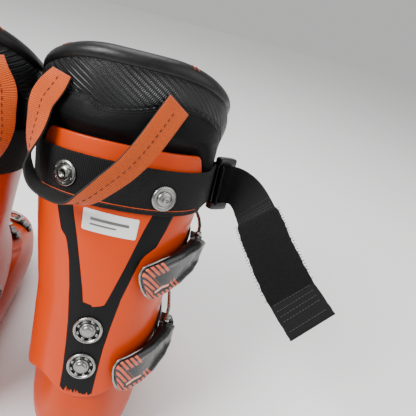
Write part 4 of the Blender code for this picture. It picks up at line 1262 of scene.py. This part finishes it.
def build_tongue():
    bm = new_mesh()
    rows = spread(4.3, 15.35, 64)
    half = THROAT - 0.6
    sides = 40
    rings = []
    for k, row in enumerate(rows):
        close = min(k, len(rows) - 1 - k)
        shrink = (0.25, 0.7, 0.93)[close] if close < 3 else 1.0
        ring = []
        for j in range(sides):
            a = math.tau * j / sides
            across = signed_power(math.cos(a), 0.55)
            deep = signed_power(math.sin(a), 0.55)
            seam = 1.0 - 0.9 * math.exp(-((abs(across) - 0.72) / 0.05) ** 2)
            crown = (1.0 - across * across) * 1.2 * seam
            depth = 0.5 - 0.5 * deep * shrink
            puff = crown * deep if row > 9.5 else 0.0
            ring.append(tongue_place(row, across * half * (0.94 + 0.06 * shrink), depth, puff * 0.9))
        rings.append(ring)
    loft(bm, rings, slots=lambda i, j: 1 if i > 52 else (3 if j > 20 else 0))
    places = [abs(signed_power(math.cos(math.tau * j / sides), 0.55)) for j in range(sides)]
    creases = [j for j, place in enumerate(places) if abs(place - 0.72) < 0.08]
    pinned = [v for k, v in enumerate(bm.verts) if not 31 <= k // sides < 62 or k % sides in creases]
    inflate(bm, pinned, TONGUE_SWELL)
    emit("liner_tongue_pad", bm, ("shell_body", "cuff_body", (0.0, 90.0, 100.0), (0.0, 105.0, 165.0)),
         [MATTE, LEATHER, CARBON, LINING], ["liner_tongue"], subdivide=1,
         after=lambda o: o)


def build_collar_details():
    """Paired orange bar tacks across the roll and thread along the seams."""
    bm = new_mesh()
    for degrees in (228.0, 150.0):
        for shift in (-1.6, 1.6):
            for start, end in ((40.0, 84.0), (96.0, 148.0)):
                points = []
                for turn in spread(start, end, 8):
                    theta = math.radians(degrees + shift)
                    middle = roll_top(theta) - ROLL_RADIUS
                    a = math.radians(turn)
                    points.append(cuff_surface(middle + 7.5 * math.sin(a), theta, -6.2 + 7.5 * math.cos(a)))
                tube(bm, points, 0.2, 6)
    emit("collar_tacks", bm, "cuff_body", [THREAD_ORANGE])
    bm = new_mesh()
    for rise, depth in ((-1.9, 0.55), (2.1, 0.3)):
        for start in [s * 1.9 for s in range(14, 176)]:
            points = []
            for degrees in (start, start + 0.45, start + 0.9, start + 1.35):
                theta = math.radians(degrees)
                seam = max(row_at(CARBON_SEAM, degrees)[1], cuff_top(theta) + 8.0) + rise
                points.append(cuff_surface(seam, theta, depth))
            tube(bm, points, 0.2, 5)
    emit("collar_thread", bm, "cuff_body", [THREAD])


# ---- webbing

def frame_along(points, widths, k):
    ahead = (points[min(k + 1, len(points) - 1)] - points[max(k - 1, 0)]).normalized()
    across = (widths[k] - ahead * widths[k].dot(ahead)).normalized()
    return ahead, across, ahead.cross(across)


def webbing(bm, points, widths, thick, slots):
    """Tape with rounded edges; slots(k) gives the materials of its two faces and its edge."""
    rings, coords, run = [], [], 0.0
    outline = ((-0.5, 0.18), (-0.49, 0.42), (-0.46, 0.5)) + tuple((a, 0.5) for a in spread(-0.4, 0.4, 7)) + (
        (0.46, 0.5), (0.49, 0.42), (0.5, 0.18), (0.5, -0.18), (0.49, -0.42), (0.46, -0.5)) + tuple(
        (a, -0.5) for a in spread(0.4, -0.4, 7)) + ((-0.46, -0.5), (-0.49, -0.42), (-0.5, -0.18))
    for k, point in enumerate(points):
        _, across, out = frame_along(points, widths, k)
        wide = widths[k].length
        if k:
            run += (point - points[k - 1]).length
        rings.append([point + across * a * wide + out * b * thick for a, b in outline])
        coords.append([(a * wide, run) for a, _ in outline] + [(outline[0][0] * wide, run)])
    count = len(outline)

    def slot(i, j):
        top, low, edge = slots(i)
        if j < 1 or j >= count - 2:
            return edge
        if j < 11:
            return top
        return edge if j < 14 else low

    verts = grid(bm, rings, slot, wrap=True, coords=coords)
    quad(bm, list(reversed(verts[0])), slots(0)[2])
    quad(bm, verts[-1], slots(len(points) - 1)[2])
    return rings


def resample(points, widths, step):
    """Smooth line through points and widths, at an even spacing."""
    line, spans = smooth_line(points, 8), smooth_line(widths, 8)
    result, wide, travelled = [line[0]], [spans[0]], 0.0
    for k in range(1, len(line)):
        travelled += (line[k] - line[k - 1]).length
        if travelled >= step or k == len(line) - 1:
            result.append(line[k])
            wide.append(spans[k])
            travelled = 0.0
    return result, wide


def plan_point(u, w, height):
    place = CUFF_FOOT + Vector((math.sin(LEAN), math.cos(LEAN))) * height
    place += Vector((math.cos(LEAN), -math.sin(LEAN))) * w
    return Vector((u, place.x, place.y))


def strap_route():
    """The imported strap's own route: eye, round the cuff, through the ring, then the free tail."""
    layer = RING_WIRE + 0.4 + STRAP_THICK / 2.0
    lift = 1.1 + STRAP_THICK / 2.0
    eye = [(RING_INNER[0] + 2.6, RING_INNER[1] - 13.0)]
    eye += [(RING_INNER[0] + layer * math.cos(math.radians(a)),
            RING_INNER[1] + layer * math.sin(math.radians(a)))
            for a in spread(10.0, 190.0, 7)]
    points = [plan_point(u, w, STRAP_HEIGHT) for u, w in eye]
    widths = [SHAFT_UP * STRAP_WIDTH] * len(points)
    for angle in spread(101.0, 405.0, 33):
        over = lift + 1.9 * smoothstep(372.0, 388.0, angle)
        low, high = (
            cuff_surface(STRAP_HEIGHT + edge * STRAP_WIDTH / 2.0, math.radians(angle), over)
            for edge in (-1.0, 1.0))
        points.append((low + high) / 2.0)
        widths.append((high - low).normalized() * STRAP_WIDTH)
    window = [(a + b) / 2.0 for a, b in zip(RING_INNER, RING_OUTER)]
    for u, w in ((window[0] - 10.0, window[1] + 11.5), tuple(window)):
        points.append(plan_point(u, w, STRAP_HEIGHT))
        widths.append(SHAFT_UP * STRAP_WIDTH)
    tail = (
        ((98.0, 82.0), 181.0, -7.0), ((106.0, 70.0), 178.0, -22.0), ((110.5, 53.5), 172.5, -37.0),
        ((114.5, 34.7), 165.0, -46.0), ((119.5, 16.6), 155.0, -46.0), ((126.5, 0.0), 144.0, -42.0),
        ((135.5, -15.0), 132.0, -37.0), ((145.0, -26.3), 122.5, -33.0), ((152.7, -34.8), 115.0, -31.0),
    )
    first = len(points)
    points += [plan_point(u, w, height) for (u, w), height, _ in tail]
    for k, (_, _, lean) in enumerate(tail):
        at = first + k
        ahead = (points[min(at + 1, len(points) - 1)] - points[at - 1]).normalized()
        flat = (SHAFT_UP - ahead * SHAFT_UP.dot(ahead)).normalized()
        width = flat * math.cos(math.radians(lean)) + ahead.cross(flat) * math.sin(math.radians(lean))
        widths.append(width * STRAP_WIDTH)
    return points, widths, first


def tape_length(points):
    return sum((b - a).length for a, b in zip(points, points[1:]))


def distances(points):
    """Distance of every point from the first, along the line."""
    run = [0.0]
    for a, b in zip(points, points[1:]):
        run.append(run[-1] + (b - a).length)
    return run


def nearest(run, distance):
    return min(range(len(run)), key=lambda n: abs(run[n] - distance))


def cross_stitches(bm, points, widths, k, out_side, thick, slot=0, share=0.92, pitch=2.6, length=1.7,
        radius=0.27):
    """One row of stitches across a tape at its k-th point."""
    _, across, out = frame_along(points, widths, k)
    wide = widths[k].length * share
    point = points[k]

    def place(distance):
        return point + across * (distance - wide / 2.0) + out * out_side * thick / 2.0, out * out_side

    stitch_line(bm, place, 0.0, wide, pitch, length, radius, slot)


def build_strap():
    points, widths, first = strap_route()
    tail_at = tape_length(points[:first + 1])
    points, widths = resample(points, widths, 2.6)
    run = distances(points)
    total = run[-1]
    pile_from, pile_to = tail_at + 48.0, total - 27.0

    def slots(k):
        if pile_from < run[k] < pile_to:
            return 1, 1, 1
        return 0, 0, 0

    bm = new_mesh()
    shaped = []
    for k, width in enumerate(widths):
        fray = 1.0 + 0.012 * noise.noise(Vector((run[k] * 0.25, 0.0, 5.0)))
        ragged = 0.09 + 0.05 * noise.noise(Vector((run[k] * 0.9, 3.0, 5.0)))
        fray += ragged * smoothstep(pile_from - 1.0, pile_from + 1.5, run[k])
        shaped.append(width * fray)
    webbing(bm, points, shaped, STRAP_THICK, slots)
    made = emit("strap_band", bm, "cuff_body", [STRAP, PILE], ["power_strap"],
                after=lambda o: o)
    bm = new_mesh()
    for distance in (tail_at + 36.0, tail_at + 39.0, tail_at + 43.0, tail_at + 46.0):
        k = nearest(run, distance)
        for side in (-1.0, 1.0):
            cross_stitches(bm, points, widths, k, side, STRAP_THICK)
    for k_off in range(5):
        distance = total - 25.5 + k_off * 4.6
        k = nearest(run, distance)
        for side in (-1.0, 1.0):
            cross_stitches(bm, points, widths, k, side, STRAP_THICK)
    emit("strap_stitches", bm, "cuff_body", [THREAD_GREY])
    bm = new_mesh()
    for k in range(len(points)):
        if not pile_from < run[k] < pile_to:
            continue
        _, across, out = frame_along(points, widths, k)
        for n in range(34):
            seed = Vector((k * 1.7, n * 3.1, 2.0))
            where = noise.noise(seed) * 0.53
            side = 1.0 if n % 2 else -1.0
            edge = n > 13
            if edge:
                where = 0.5 * side
            base = points[k] + across * where * STRAP_WIDTH * 1.08
            base += out * side * (0.0 if edge else STRAP_THICK / 2.0)
            reach = across * side * (1.2 + 1.3 * abs(noise.noise(seed * 2.1))) if edge else out * side * 0.7
            sway = noise.noise_vector(seed * 1.3) * 0.9
            tube(bm, [base, base + reach * 0.6 + sway * 0.5, base + reach + sway], 0.11, 3)
    emit("strap_fuzz", bm, "cuff_body", [PILE])
    bm = new_mesh()
    for low, off in ((167.2, 0.5), (166.0, 0.42)):
        line = [cuff_surface(low, math.radians(a), 1.1 + STRAP_THICK + off * 0.2)
                for a in spread(121.0, 241.0, 60)]
        tube(bm, line, 0.34 if off == 0.5 else 0.22, 6, 0 if off == 0.5 else 1)
    emit("strap_piping", bm, "cuff_body", [THREAD_ORANGE, THREAD])
    return made


def build_ring():
    """Link of the strap: two dark end blocks joined by a grey bar and an inner bar."""
    half = STRAP_WIDTH / 2.0 + RING_WIRE + 0.5
    inner = plan_point(*RING_INNER, STRAP_HEIGHT)
    outer = plan_point(*RING_OUTER, STRAP_HEIGHT)
    bm = new_mesh()
    for place, radius, slot in ((inner, 1.9, 0), (outer, 2.9, 1)):
        turned(bm, place - SHAFT_UP * half, SHAFT_UP, ((radius, 0.0), (radius, half * 2.0)), 20, slot)
    along = (outer - inner).normalized()
    across = along.cross(SHAFT_UP)
    for side in (-1.0, 1.0):
        base = (inner + outer) / 2.0 + SHAFT_UP * side * (half + 0.4)
        reach = (outer - inner).length / 2.0 + 2.6
        rings = []
        for rise, grow in ((-3.4, 0.8), (-2.9, 0.93), (-2.2, 1.0), (2.4, 1.0), (3.4, 0.93), (4.0, 0.8)):
            middle = base + SHAFT_UP * rise * side
            corners = [middle + (along * a * reach + across * b * 4.3) * grow for a, b in CORNERS]
            rings.append(rounded(corners, 3.2, 6))
        loft(bm, rings)
    emit("strap_link", bm, "cuff_body", [BLACK, GREY_BAR], ["strap_ring"], bevel=0.3)


LOOP_ROUTE = (
    (221.0, 246.0, 1.6, 0.0), (222.5, 237.0, 5.6, 14.0), (227.0, 226.0, 8.5, 20.0),
    (228.5, 213.0, 10.5, 12.0),
    (230.0, 199.0, 12.5, -4.0), (228.5, 186.0, 14.5, -30.0), (223.5, 175.5, 16.5, -56.0),
    (213.0, 168.5, 18.0, -80.0),
    (199.0, 165.5, 18.0, -82.0), (191.0, 171.5, 17.5, -58.0), (184.0, 183.0, 16.5, -42.0),
    (177.5, 197.0, 14.5, -28.0),
    (171.5, 212.0, 11.0, -16.0), (165.5, 228.0, 6.5, -7.0), (158.5, 243.0, 1.6, 0.0),
)


def tape_piece(name, points, widths, body, replaces, out_slots):
    """Orange tape whose back face is near-black as painted shade on the loop's inside, with dark edges and a
    dashed centre line.
    """
    points, widths = resample(points, widths, 1.5)
    bm = new_mesh()
    webbing(bm, points, widths, LOOP_THICK, lambda k: out_slots)
    total = tape_length(points)
    emit(name, bm, body, [TAPE, TAPE_BACK_SHADE, THREAD], replaces,
         after=lambda o: o)
    bm = new_mesh()
    run = distances(points)
    side = 1.0 if out_slots[0] == 0 else -1.0

    def place(distance):
        k = nearest(run, distance)
        k = min(k, len(points) - 2)
        share = (distance - run[k]) / max(run[k + 1] - run[k], 0.01)
        _, _, out = frame_along(points, widths, k)
        return points[k].lerp(points[k + 1], share) + out * side * LOOP_THICK / 2.0, out * side

    stitch_line(bm, place, 4.0, total - 4.0, 4.6, 2.6, 0.3)
    emit(f"{name}_stitches", bm, body, [THREAD])


def build_pull_loops():
    points = [cuff_surface(s, math.radians(a), off) for a, s, off, _ in LOOP_ROUTE]
    widths = []
    for k, (angle, height, off, lean) in enumerate(LOOP_ROUTE):
        ahead = (points[min(k + 1, len(points) - 1)] - points[max(k - 1, 0)]).normalized()
        out = cuff_surface(height, math.radians(angle), off + 1.0) - points[k]
        out = (out - ahead * out.dot(ahead)).normalized()
        flat = ahead.cross(out)
        widths.append((flat * math.cos(math.radians(lean)) + out * math.sin(math.radians(lean))) * LOOP_WIDTH)
    _, _, out = frame_along(points, widths, 0)
    facing = out.dot(outward(cuff_size, points[0])) > 0.0
    # The orange face goes outward and the inner face takes the near-black tape, painted shade.
    slots = (0, 1, 2) if facing else (1, 0, 2)
    tape_piece("pull_loop", points, widths, "cuff_body", ["rear_pull_loop"], slots)


def build_tongue_loop():
    """Small tape loop sewn to the top of the tongue."""
    points, widths = [], []
    for turn in spread(-90.0, 90.0, 13):
        a = math.radians(turn)
        place = tongue_place(14.2, 13.0 * math.sin(a), 0.0, 0.8)
        points.append(place + SHAFT_UP * 30.0 * math.cos(a) ** 0.8 - REARWARD * 4.0 * math.cos(a))
        widths.append((SHAFT_UP * 0.25 - REARWARD).normalized() * 13.0)
    points = [points[0] - SHAFT_UP * 9.0] + points + [points[-1] - SHAFT_UP * 9.0]
    outs = [widths[0].copy()] + widths + [widths[-1].copy()]
    tape_piece("tongue_loop", points, outs, "cuff_body", [], (0, 1, 2))


# ---- buckles

class Track:
    """Line over a surface from a lever's tip (-1) through its pin (0) to the hook bar (1)."""

    def __init__(self, line, size, lever):
        self.size = size
        self.length, self.half, self.tall, self.bail = lever
        self.points = [line(k / 60.0) for k in range(-90, 115)]
        self.distances = [0.0]
        for before, here in zip(self.points, self.points[1:]):
            self.distances.append(self.distances[-1] + (here - before).length)
        self.reach = self.distances[150] - self.distances[90]
        start = self.distances[90]
        self.distances = [d - start for d in self.distances]

    def spot(self, distance):
        for k in range(len(self.points) - 2):
            if self.distances[k + 1] > distance:
                break
        share = (distance - self.distances[k]) / (self.distances[k + 1] - self.distances[k])
        return self.points[k].lerp(self.points[k + 1], share)

    def frame(self, distance):
        point = self.spot(distance)
        out = outward(self.size, point)
        ahead = self.spot(distance + 2.0) - self.spot(distance - 2.0)
        ahead = (ahead - out * ahead.dot(out)).normalized()
        return point, ahead, out.cross(ahead), out

    def point(self, distance, across, height):
        point, _, side, out = self.frame(distance)
        return point + side * across + out * height

    def on_surface(self, distance, across, height):
        point, _, side, out = self.frame(distance)
        return cast(self.size, point + side * across - out * 14.0, out, 30.0) + out * height


def cuff_track(tip, pin, hook, lever):
    def line(share):
        end = hook if share > 0.0 else tip
        angle = pin[1] + (end[1] - pin[1]) * abs(share)
        height = 0.0
        places = (tip, pin, hook)
        for a in range(3):
            weight = 1.0
            for b in range(3):
                if b != a:
                    weight *= (angle - places[b][1]) / (places[a][1] - places[b][1])
            height += weight * places[a][0]
        return cuff_surface(height, math.radians(angle))
    return Track(line, cuff_size, lever)


def foot_track(middle, lean, angles, lever):
    up = Vector((0.0, math.sin(math.radians(lean)), math.cos(math.radians(lean))))
    centre = Vector((0.0, *middle))

    def line(share):
        end = angles[2] if share > 0.0 else angles[0]
        angle = math.radians(angles[1] + (end - angles[1]) * abs(share))
        return cast(shell_size, centre, Vector((math.sin(angle), 0.0, 0.0)) + up * math.cos(angle))
    return Track(line, shell_size, lever)


def blend_keys(keys, at):
    """Smoothly interpolated row of a table sorted by falling first column."""
    if at >= keys[0][0]:
        return keys[0][1:]
    for high, low in zip(keys, keys[1:]):
        if at >= low[0]:
            share = smoothstep(high[0], low[0], at) if high[0] < low[0] else (
                1.0 - smoothstep(low[0], high[0], at))
            return [a + (b - a) * share for a, b in zip(high[1:], low[1:])]
    return keys[-1][1:]


def build_base(number, track, body):
    """Plate with two lugs, the pivot pin's domed heads and the rivets that hold it to the plastic."""
    bm = new_mesh()
    rear, front, half = -13.0, 27.0, 10.4
    rows_high, rows_low = [], []
    for distance in spread(rear, front, 22):
        end = max((distance - (front - 9.0)) / 9.0, ((rear + 5.0) - distance) / 5.0, 0.0)
        wide = half * (1.0 - 0.08 * smoothstep(8.0, 20.0, distance)) * (
            max(1.0 - min(end, 1.0) ** 2.6, 0.06) ** 0.42)
        steps = spread(-wide, wide, 9)
        rows_high.append([track.on_surface(distance, y, 2.4 if abs(y) < wide * 0.9 else 1.9) for y in steps])
        rows_low.append([track.on_surface(distance, y, 0.3) for y in steps])
    slab(bm, rows_high, rows_low)
    pin, ahead, side, out = track.frame(0.0)
    for edge in (-1.0, 1.0):
        outline = []
        for d, h in ((-5.0, -6.4), (5.2, -6.4), (4.6, -0.6), (2.9, 3.0), (0.0, 4.2), (-2.9, 3.0),
                (-4.6, -0.6)):
            outline.append((d, max(h + track.tall, 1.2)))
        rings = []
        for y, grow in ((5.05, 0.94), (5.4, 1.0), (7.3, 1.0), (7.7, 0.94)):
            rings.append([pin + ahead * d * grow + side * edge * y + out * (5.5 + (h - 5.5) * grow)
                          for d, h in outline])
        loft(bm, rings)
    centre = pin + out * track.tall
    for edge in (-1.0, 1.0):
        turned(bm, centre + side * edge * 7.5, side * edge,
               ((3.1, 0.0), (3.1, 0.5), (2.8, 1.1), (2.1, 1.6), (1.2, 1.9), (0.4, 2.0)), 24, 1)
    turned(bm, centre - side * 7.0, side, ((1.9, 0.0), (1.9, 14.0)), 16, 1)
    for distance, radius in ((19.5, 3.6), (-9.4, 2.6)):
        place, _, _, up = track.frame(distance)
        turned(bm, place + up * 2.0, up,
                ((radius, 0.0), (radius, 0.7), (radius * 0.84, 1.5), (radius * 0.6, 1.9),
                                         (radius * 0.42, 1.7), (radius * 0.36, 1.2), (0.3, 1.1)), 28, 1)
    emit(f"buckle_base_{number}", bm, body, [BLACK, STEEL], [f"buckle_base_{number}"],
            bevel=0.3)


def build_lever(number, track):
    """Sculpted lever: side rails, a hollow between them, printed bars near the thumb end."""
    length, full, tall = track.length, track.half, track.tall
    thick = tall / 7.6
    neck = min((tall - 3.2) / 6.1, 1.0)
    keys = (
        (5.4 * neck, tall + 0.2, 4.7, 0.7, 0.0), (4.6 * neck, tall + 0.2, 4.7, 2.8 * neck, 0.0),
        (2.6 * neck, tall + 0.5 * neck, 4.7, 4.4 * neck, 0.0),
        (-1.0, tall + 0.8 * neck, 4.7, 5.2 * neck, 0.0),
        (-7.4, tall + 0.9 * neck, 4.7, 5.3 * neck, 0.0),
        (-9.8, tall + 0.9 * neck, 0.76 * full, 5.4 * thick * neck, 0.4),
        (-20.0, tall + 0.2, 0.97 * full, 4.9 * thick * neck, 2.6 * thick * neck),
        (-0.5 * length, tall - 0.9, 1.03 * full, 3.8 * thick, 2.4 * thick),
        (-0.72 * length, tall - 1.6, 1.04 * full, 3.0 * thick, 0.8),
        (-0.9 * length, tall - 1.9, full, 2.5 * thick, 0.1),
        (-length, tall - 2.3, 0.9 * full, 1.9 * thick, 0.0),
    )
    places = spread(5.4 * neck, -8.0, 16) + spread(-8.6, -length + 26.0, 22)
    places += spread(-length + 25.6, -length, 62)
    across_at = (1.0, 0.985, 0.95, 0.9, 0.82, 0.74, 0.66, 0.58, 0.45, 0.3, 0.15, 0.0)
    across_at = list(across_at) + [-y for y in reversed(across_at[:-1])]
    rings = []
    for distance in places:
        height, half, deep, hollow = blend_keys(keys, distance)
        end = max((-length + 7.5 - distance) / 7.5, 0.0)
        half *= max(1.0 - end ** 2.6, 0.04) ** 0.4
        thin = max(1.0 - end ** 5.0, 0.2)
        point, _, side, up = track.frame(distance)
        ring = []
        for y in across_at:
            edge = max((abs(y) - 0.8) / 0.2, 0.0)
            crown = deep * thin * (1.0 - 0.55 * edge ** 2.2) - hollow * (1.0 - smoothstep(0.56, 0.7, abs(y)))
            ring.append(point + side * y * half + up * (height + crown))
        for y in reversed(across_at):
            edge = max((abs(y) - 0.8) / 0.2, 0.0)
            groove = 0.45 * deep * (1.0 - smoothstep(0.55, 0.7, abs(y)))
            under = -deep * thin * (1.0 - 0.55 * edge ** 2.2) + groove
            ring.append(point + side * y * half + up * (height + under))
        rings.append(ring)
    count = len(across_at)
    coords = []
    for distance in places:
        half = blend_keys(keys, distance)[1]
        flat = [(y * half, distance + length) for y in across_at]
        coords.append(flat + list(reversed(flat)) + [flat[0]])
    bm = new_mesh()
    verts = grid(bm, rings, lambda i, j: 1 if j < count - 1 else 0, wrap=True, coords=coords)
    quad(bm, list(reversed(verts[0])), 0)
    quad(bm, verts[-1], 0)
    emit(f"buckle_lever_{number}", bm, f"lever_{number}_body", [LEVER, PRINT], [f"buckle_lever_{number}"])
    bm = new_mesh()
    high, low = [], []
    for distance in spread(-length + 24.0, -length - 1.3, 24):
        height, half, deep, _ = blend_keys(keys, distance)
        end = max((-length + 6.2 - distance) / 7.6, 0.0)
        half += 0.9 * smoothstep(-length + 24.0, -length + 16.0, distance)
        half *= max(1.0 - end ** 2.6, 0.04) ** 0.4
        point, _, side, up = track.frame(distance)
        for rows, off in ((high, 0.25), (low, -0.65)):
            rows.append([point + side * half * y + up * (height - deep * 0.35 + off)
                         for y in spread(-1.0, 1.0, 9)])
    slab(bm, high, low)
    emit(f"lever_edge_{number}", bm, f"lever_{number}_body", [STEEL])


def build_bail(number, track):
    """Wire loop with small end barrels where it enters the lever."""
    pin = track.point(-14.0, 0.0, track.tall - 1.4)
    side = track.frame(0.0)[2]
    steps = 9
    runs = {}
    for edge in (-1.0, 1.0):
        run = [pin + side * edge * track.bail]
        for k in range(1, steps):
            share = k / steps
            height = track.tall - 1.4 + (5.2 - track.tall) * share
            wide = track.bail + (12.5 - track.bail) * smoothstep(0.5, 1.0, share)
            run.append(track.point(-14.0 + (track.reach + 14.0) * share, edge * wide, height))
        run.append(track.point(track.reach, edge * 12.5, 4.1))
        runs[edge] = run
    outline = runs[1.0] + list(reversed(runs[-1.0]))
    points = []
    corner_at = (0, steps, steps + 1, len(outline) - 1)
    for k, point in enumerate(outline):
        if k in corner_at:
            before = (outline[k - 1] - point).normalized() * 2.6
            after = (outline[(k + 1) % len(outline)] - point).normalized() * 2.6
            for share in spread(0.0, 1.0, 7):
                points.append(point + before * (1.0 - share) ** 2 + after * share ** 2)
        else:
            points.append(point)
    line = []
    for k, point in enumerate(points):
        ahead = points[(k + 1) % len(points)]
        line.append(point)
        if (ahead - point).length > 4.0:
            line += [point.lerp(ahead, 0.33), point.lerp(ahead, 0.67)]
    bm = new_mesh()
    tube(bm, line, WIRE, 14, closed=True)
    for edge in (-1.0, 1.0):
        turned(bm, pin + side * edge * (track.bail - 1.9), side * edge,
               ((2.0, 0.0), (2.5, 0.3), (2.5, 2.6), (2.1, 3.3), (1.0, 3.6)), 20, 0)
    emit(f"buckle_bail_{number}", bm, f"bail_{number}_body", [STEEL], [f"buckle_bail_{number}"])


def build_catch(number, track, body):
    reach = track.reach
    bm = new_mesh()
    places = spread(-9.0, 18.0, 82)
    high, low = [], []
    for distance in places:
        wave = (distance + 4.0) % 8.0
        tooth = math.exp(-((wave - 0.3) / 1.9) ** 4) + math.exp(-((wave - 8.3) / 1.9) ** 4)
        rise = 1.9 + 2.3 * (tooth if -7.0 < distance < 15.0 else 0.0)
        end = max((distance - 14.0) / 4.0, (-5.0 - distance) / 4.0, 0.0)
        wide = 8.7 * max(1.0 - min(end, 1.0) ** 2.4, 0.2) ** 0.5
        steps = (-1.0, -0.93, -0.6, -0.2, 0.2, 0.6, 0.93, 1.0)
        high.append([track.on_surface(reach + distance, y * wide,
                rise - (0.6 if abs(y) > 0.95 else 0.0)) for y in steps])
        low.append([track.on_surface(reach + distance, y * wide, 0.2) for y in steps])
    slab(bm, high, low)
    for distance in (-6.2, 15.6):
        place, _, _, up = track.frame(reach + distance)
        turned(bm, place + up * 1.4, up, ((2.2, 0.0), (2.2, 0.8), (1.7, 1.3), (0.9, 1.6), (0.3, 1.65)), 20, 1)
    emit(f"buckle_catch_{number}", bm, body, [DARK_STEEL_AND_SHADE, STEEL], [f"buckle_catch_{number}"])


def build_buckles():
    groups = [(number, cuff_track(*places), "cuff_body") for number, *places in CUFF_BUCKLES]
    groups += [(number, foot_track(*places), "shell_body") for number, *places in FOOT_BUCKLES]
    for number, track, body in groups:
        build_base(number, track, body)
        build_lever(number, track)
        build_bail(number, track)
        build_catch(number, track, body)


# ---- picture

# Places in metres, sizes in metres, powers in watts
LIGHTS = (("key", (0.9, 0.75, 1.25), 0.7, 36.0), ("fill", (-1.1, 0.5, 0.9), 1.2, 8.0),
          ("top", (0.1, -0.4, 1.5), 1.0, 16.0))
LIGHT_AIM = Vector((-0.02, 0.0, 0.18))
SKY_STRENGTH = 0.55
CAMERA_PLACE = Vector((-0.08726, 0.386372, 0.4078))
CAMERA_TURN, CAMERA_DIP, CAMERA_ROLL = 0.182, 0.486, 0.282
CAMERA_LENS = 38.94


def build_stage():
    """Pale floor, three soft lights and an even sky."""
    look = Look("floor_paper", (0.92, 0.92, 0.915), 0.9)
    look.color(look.mix(look.noise(3.0, 2.0), (0.91, 0.91, 0.905), (0.94, 0.94, 0.935)))
    bm = bmesh.new()
    corners = [bm.verts.new((x, y, 0.0)) for x, y in ((-3.0, -3.0), (3.0, -3.0), (3.0, 3.0), (-3.0, 3.0))]
    bm.faces.new(corners)
    data = bpy.data.meshes.new("floor")
    bm.to_mesh(data)
    bm.free()
    data.materials.append(look.mat)
    floor = bpy.data.objects.new("floor", data)
    bpy.context.scene.collection.objects.link(floor)
    world = bpy.data.worlds.new("studio")
    bpy.context.scene.world = world
    world.use_nodes = True
    sky = world.node_tree.nodes["Background"]
    sky.inputs[0].default_value = (1.0, 0.99, 0.98, 1.0)
    sky.inputs[1].default_value = SKY_STRENGTH
    for name, place, size, power in LIGHTS:
        light = bpy.data.lights.new(name, "AREA")
        light.size = size
        light.energy = power
        obj = bpy.data.objects.new(name, light)
        obj.location = place
        aim = LIGHT_AIM - Vector(place)
        obj.rotation_euler = aim.to_track_quat("-Z", "Y").to_euler()
        bpy.context.scene.collection.objects.link(obj)


def build_camera():
    """Viewpoint behind and above the right boot's heel, rolled a little."""
    turn, dip, roll = CAMERA_TURN, CAMERA_DIP, CAMERA_ROLL
    ahead = Vector((math.sin(turn) * math.cos(dip), math.cos(turn) * math.cos(dip), -math.sin(dip)))
    right = ahead.cross(Vector((0.0, 0.0, 1.0))).normalized()
    up = right.cross(ahead)
    right, up = right * math.cos(roll) + up * math.sin(roll), up * math.cos(roll) - right * math.sin(roll)
    columns = [Vector((-v.x, -v.y, v.z)) for v in (right, up, -ahead)]
    data = bpy.data.cameras.new("camera")
    data.lens = CAMERA_LENS
    data.sensor_width = 36.0
    camera = bpy.data.objects.new("camera", data)
    rows = [[*(c[k] for c in columns), CAMERA_PLACE[k]] for k in range(3)]
    camera.matrix_world = Matrix(rows + [[0.0, 0.0, 0.0, 1.0]])
    bpy.context.scene.collection.objects.link(camera)
    bpy.context.scene.camera = camera


def main():
    build_shell()
    build_cuff()
    build_decal()
    build_label()
    build_soles()
    build_fasteners()
    build_liner()
    build_collar()
    build_tongue()
    build_collar_details()
    build_strap()
    build_ring()
    build_pull_loops()
    build_tongue_loop()
    build_buckles()
    for side in SIDES:
        board = bpy.data.objects[f"{side}_bootboard"]
        board.data.materials.clear()
        board.data.materials.append(RUBBER)
    build_stage()
    build_camera()


main()
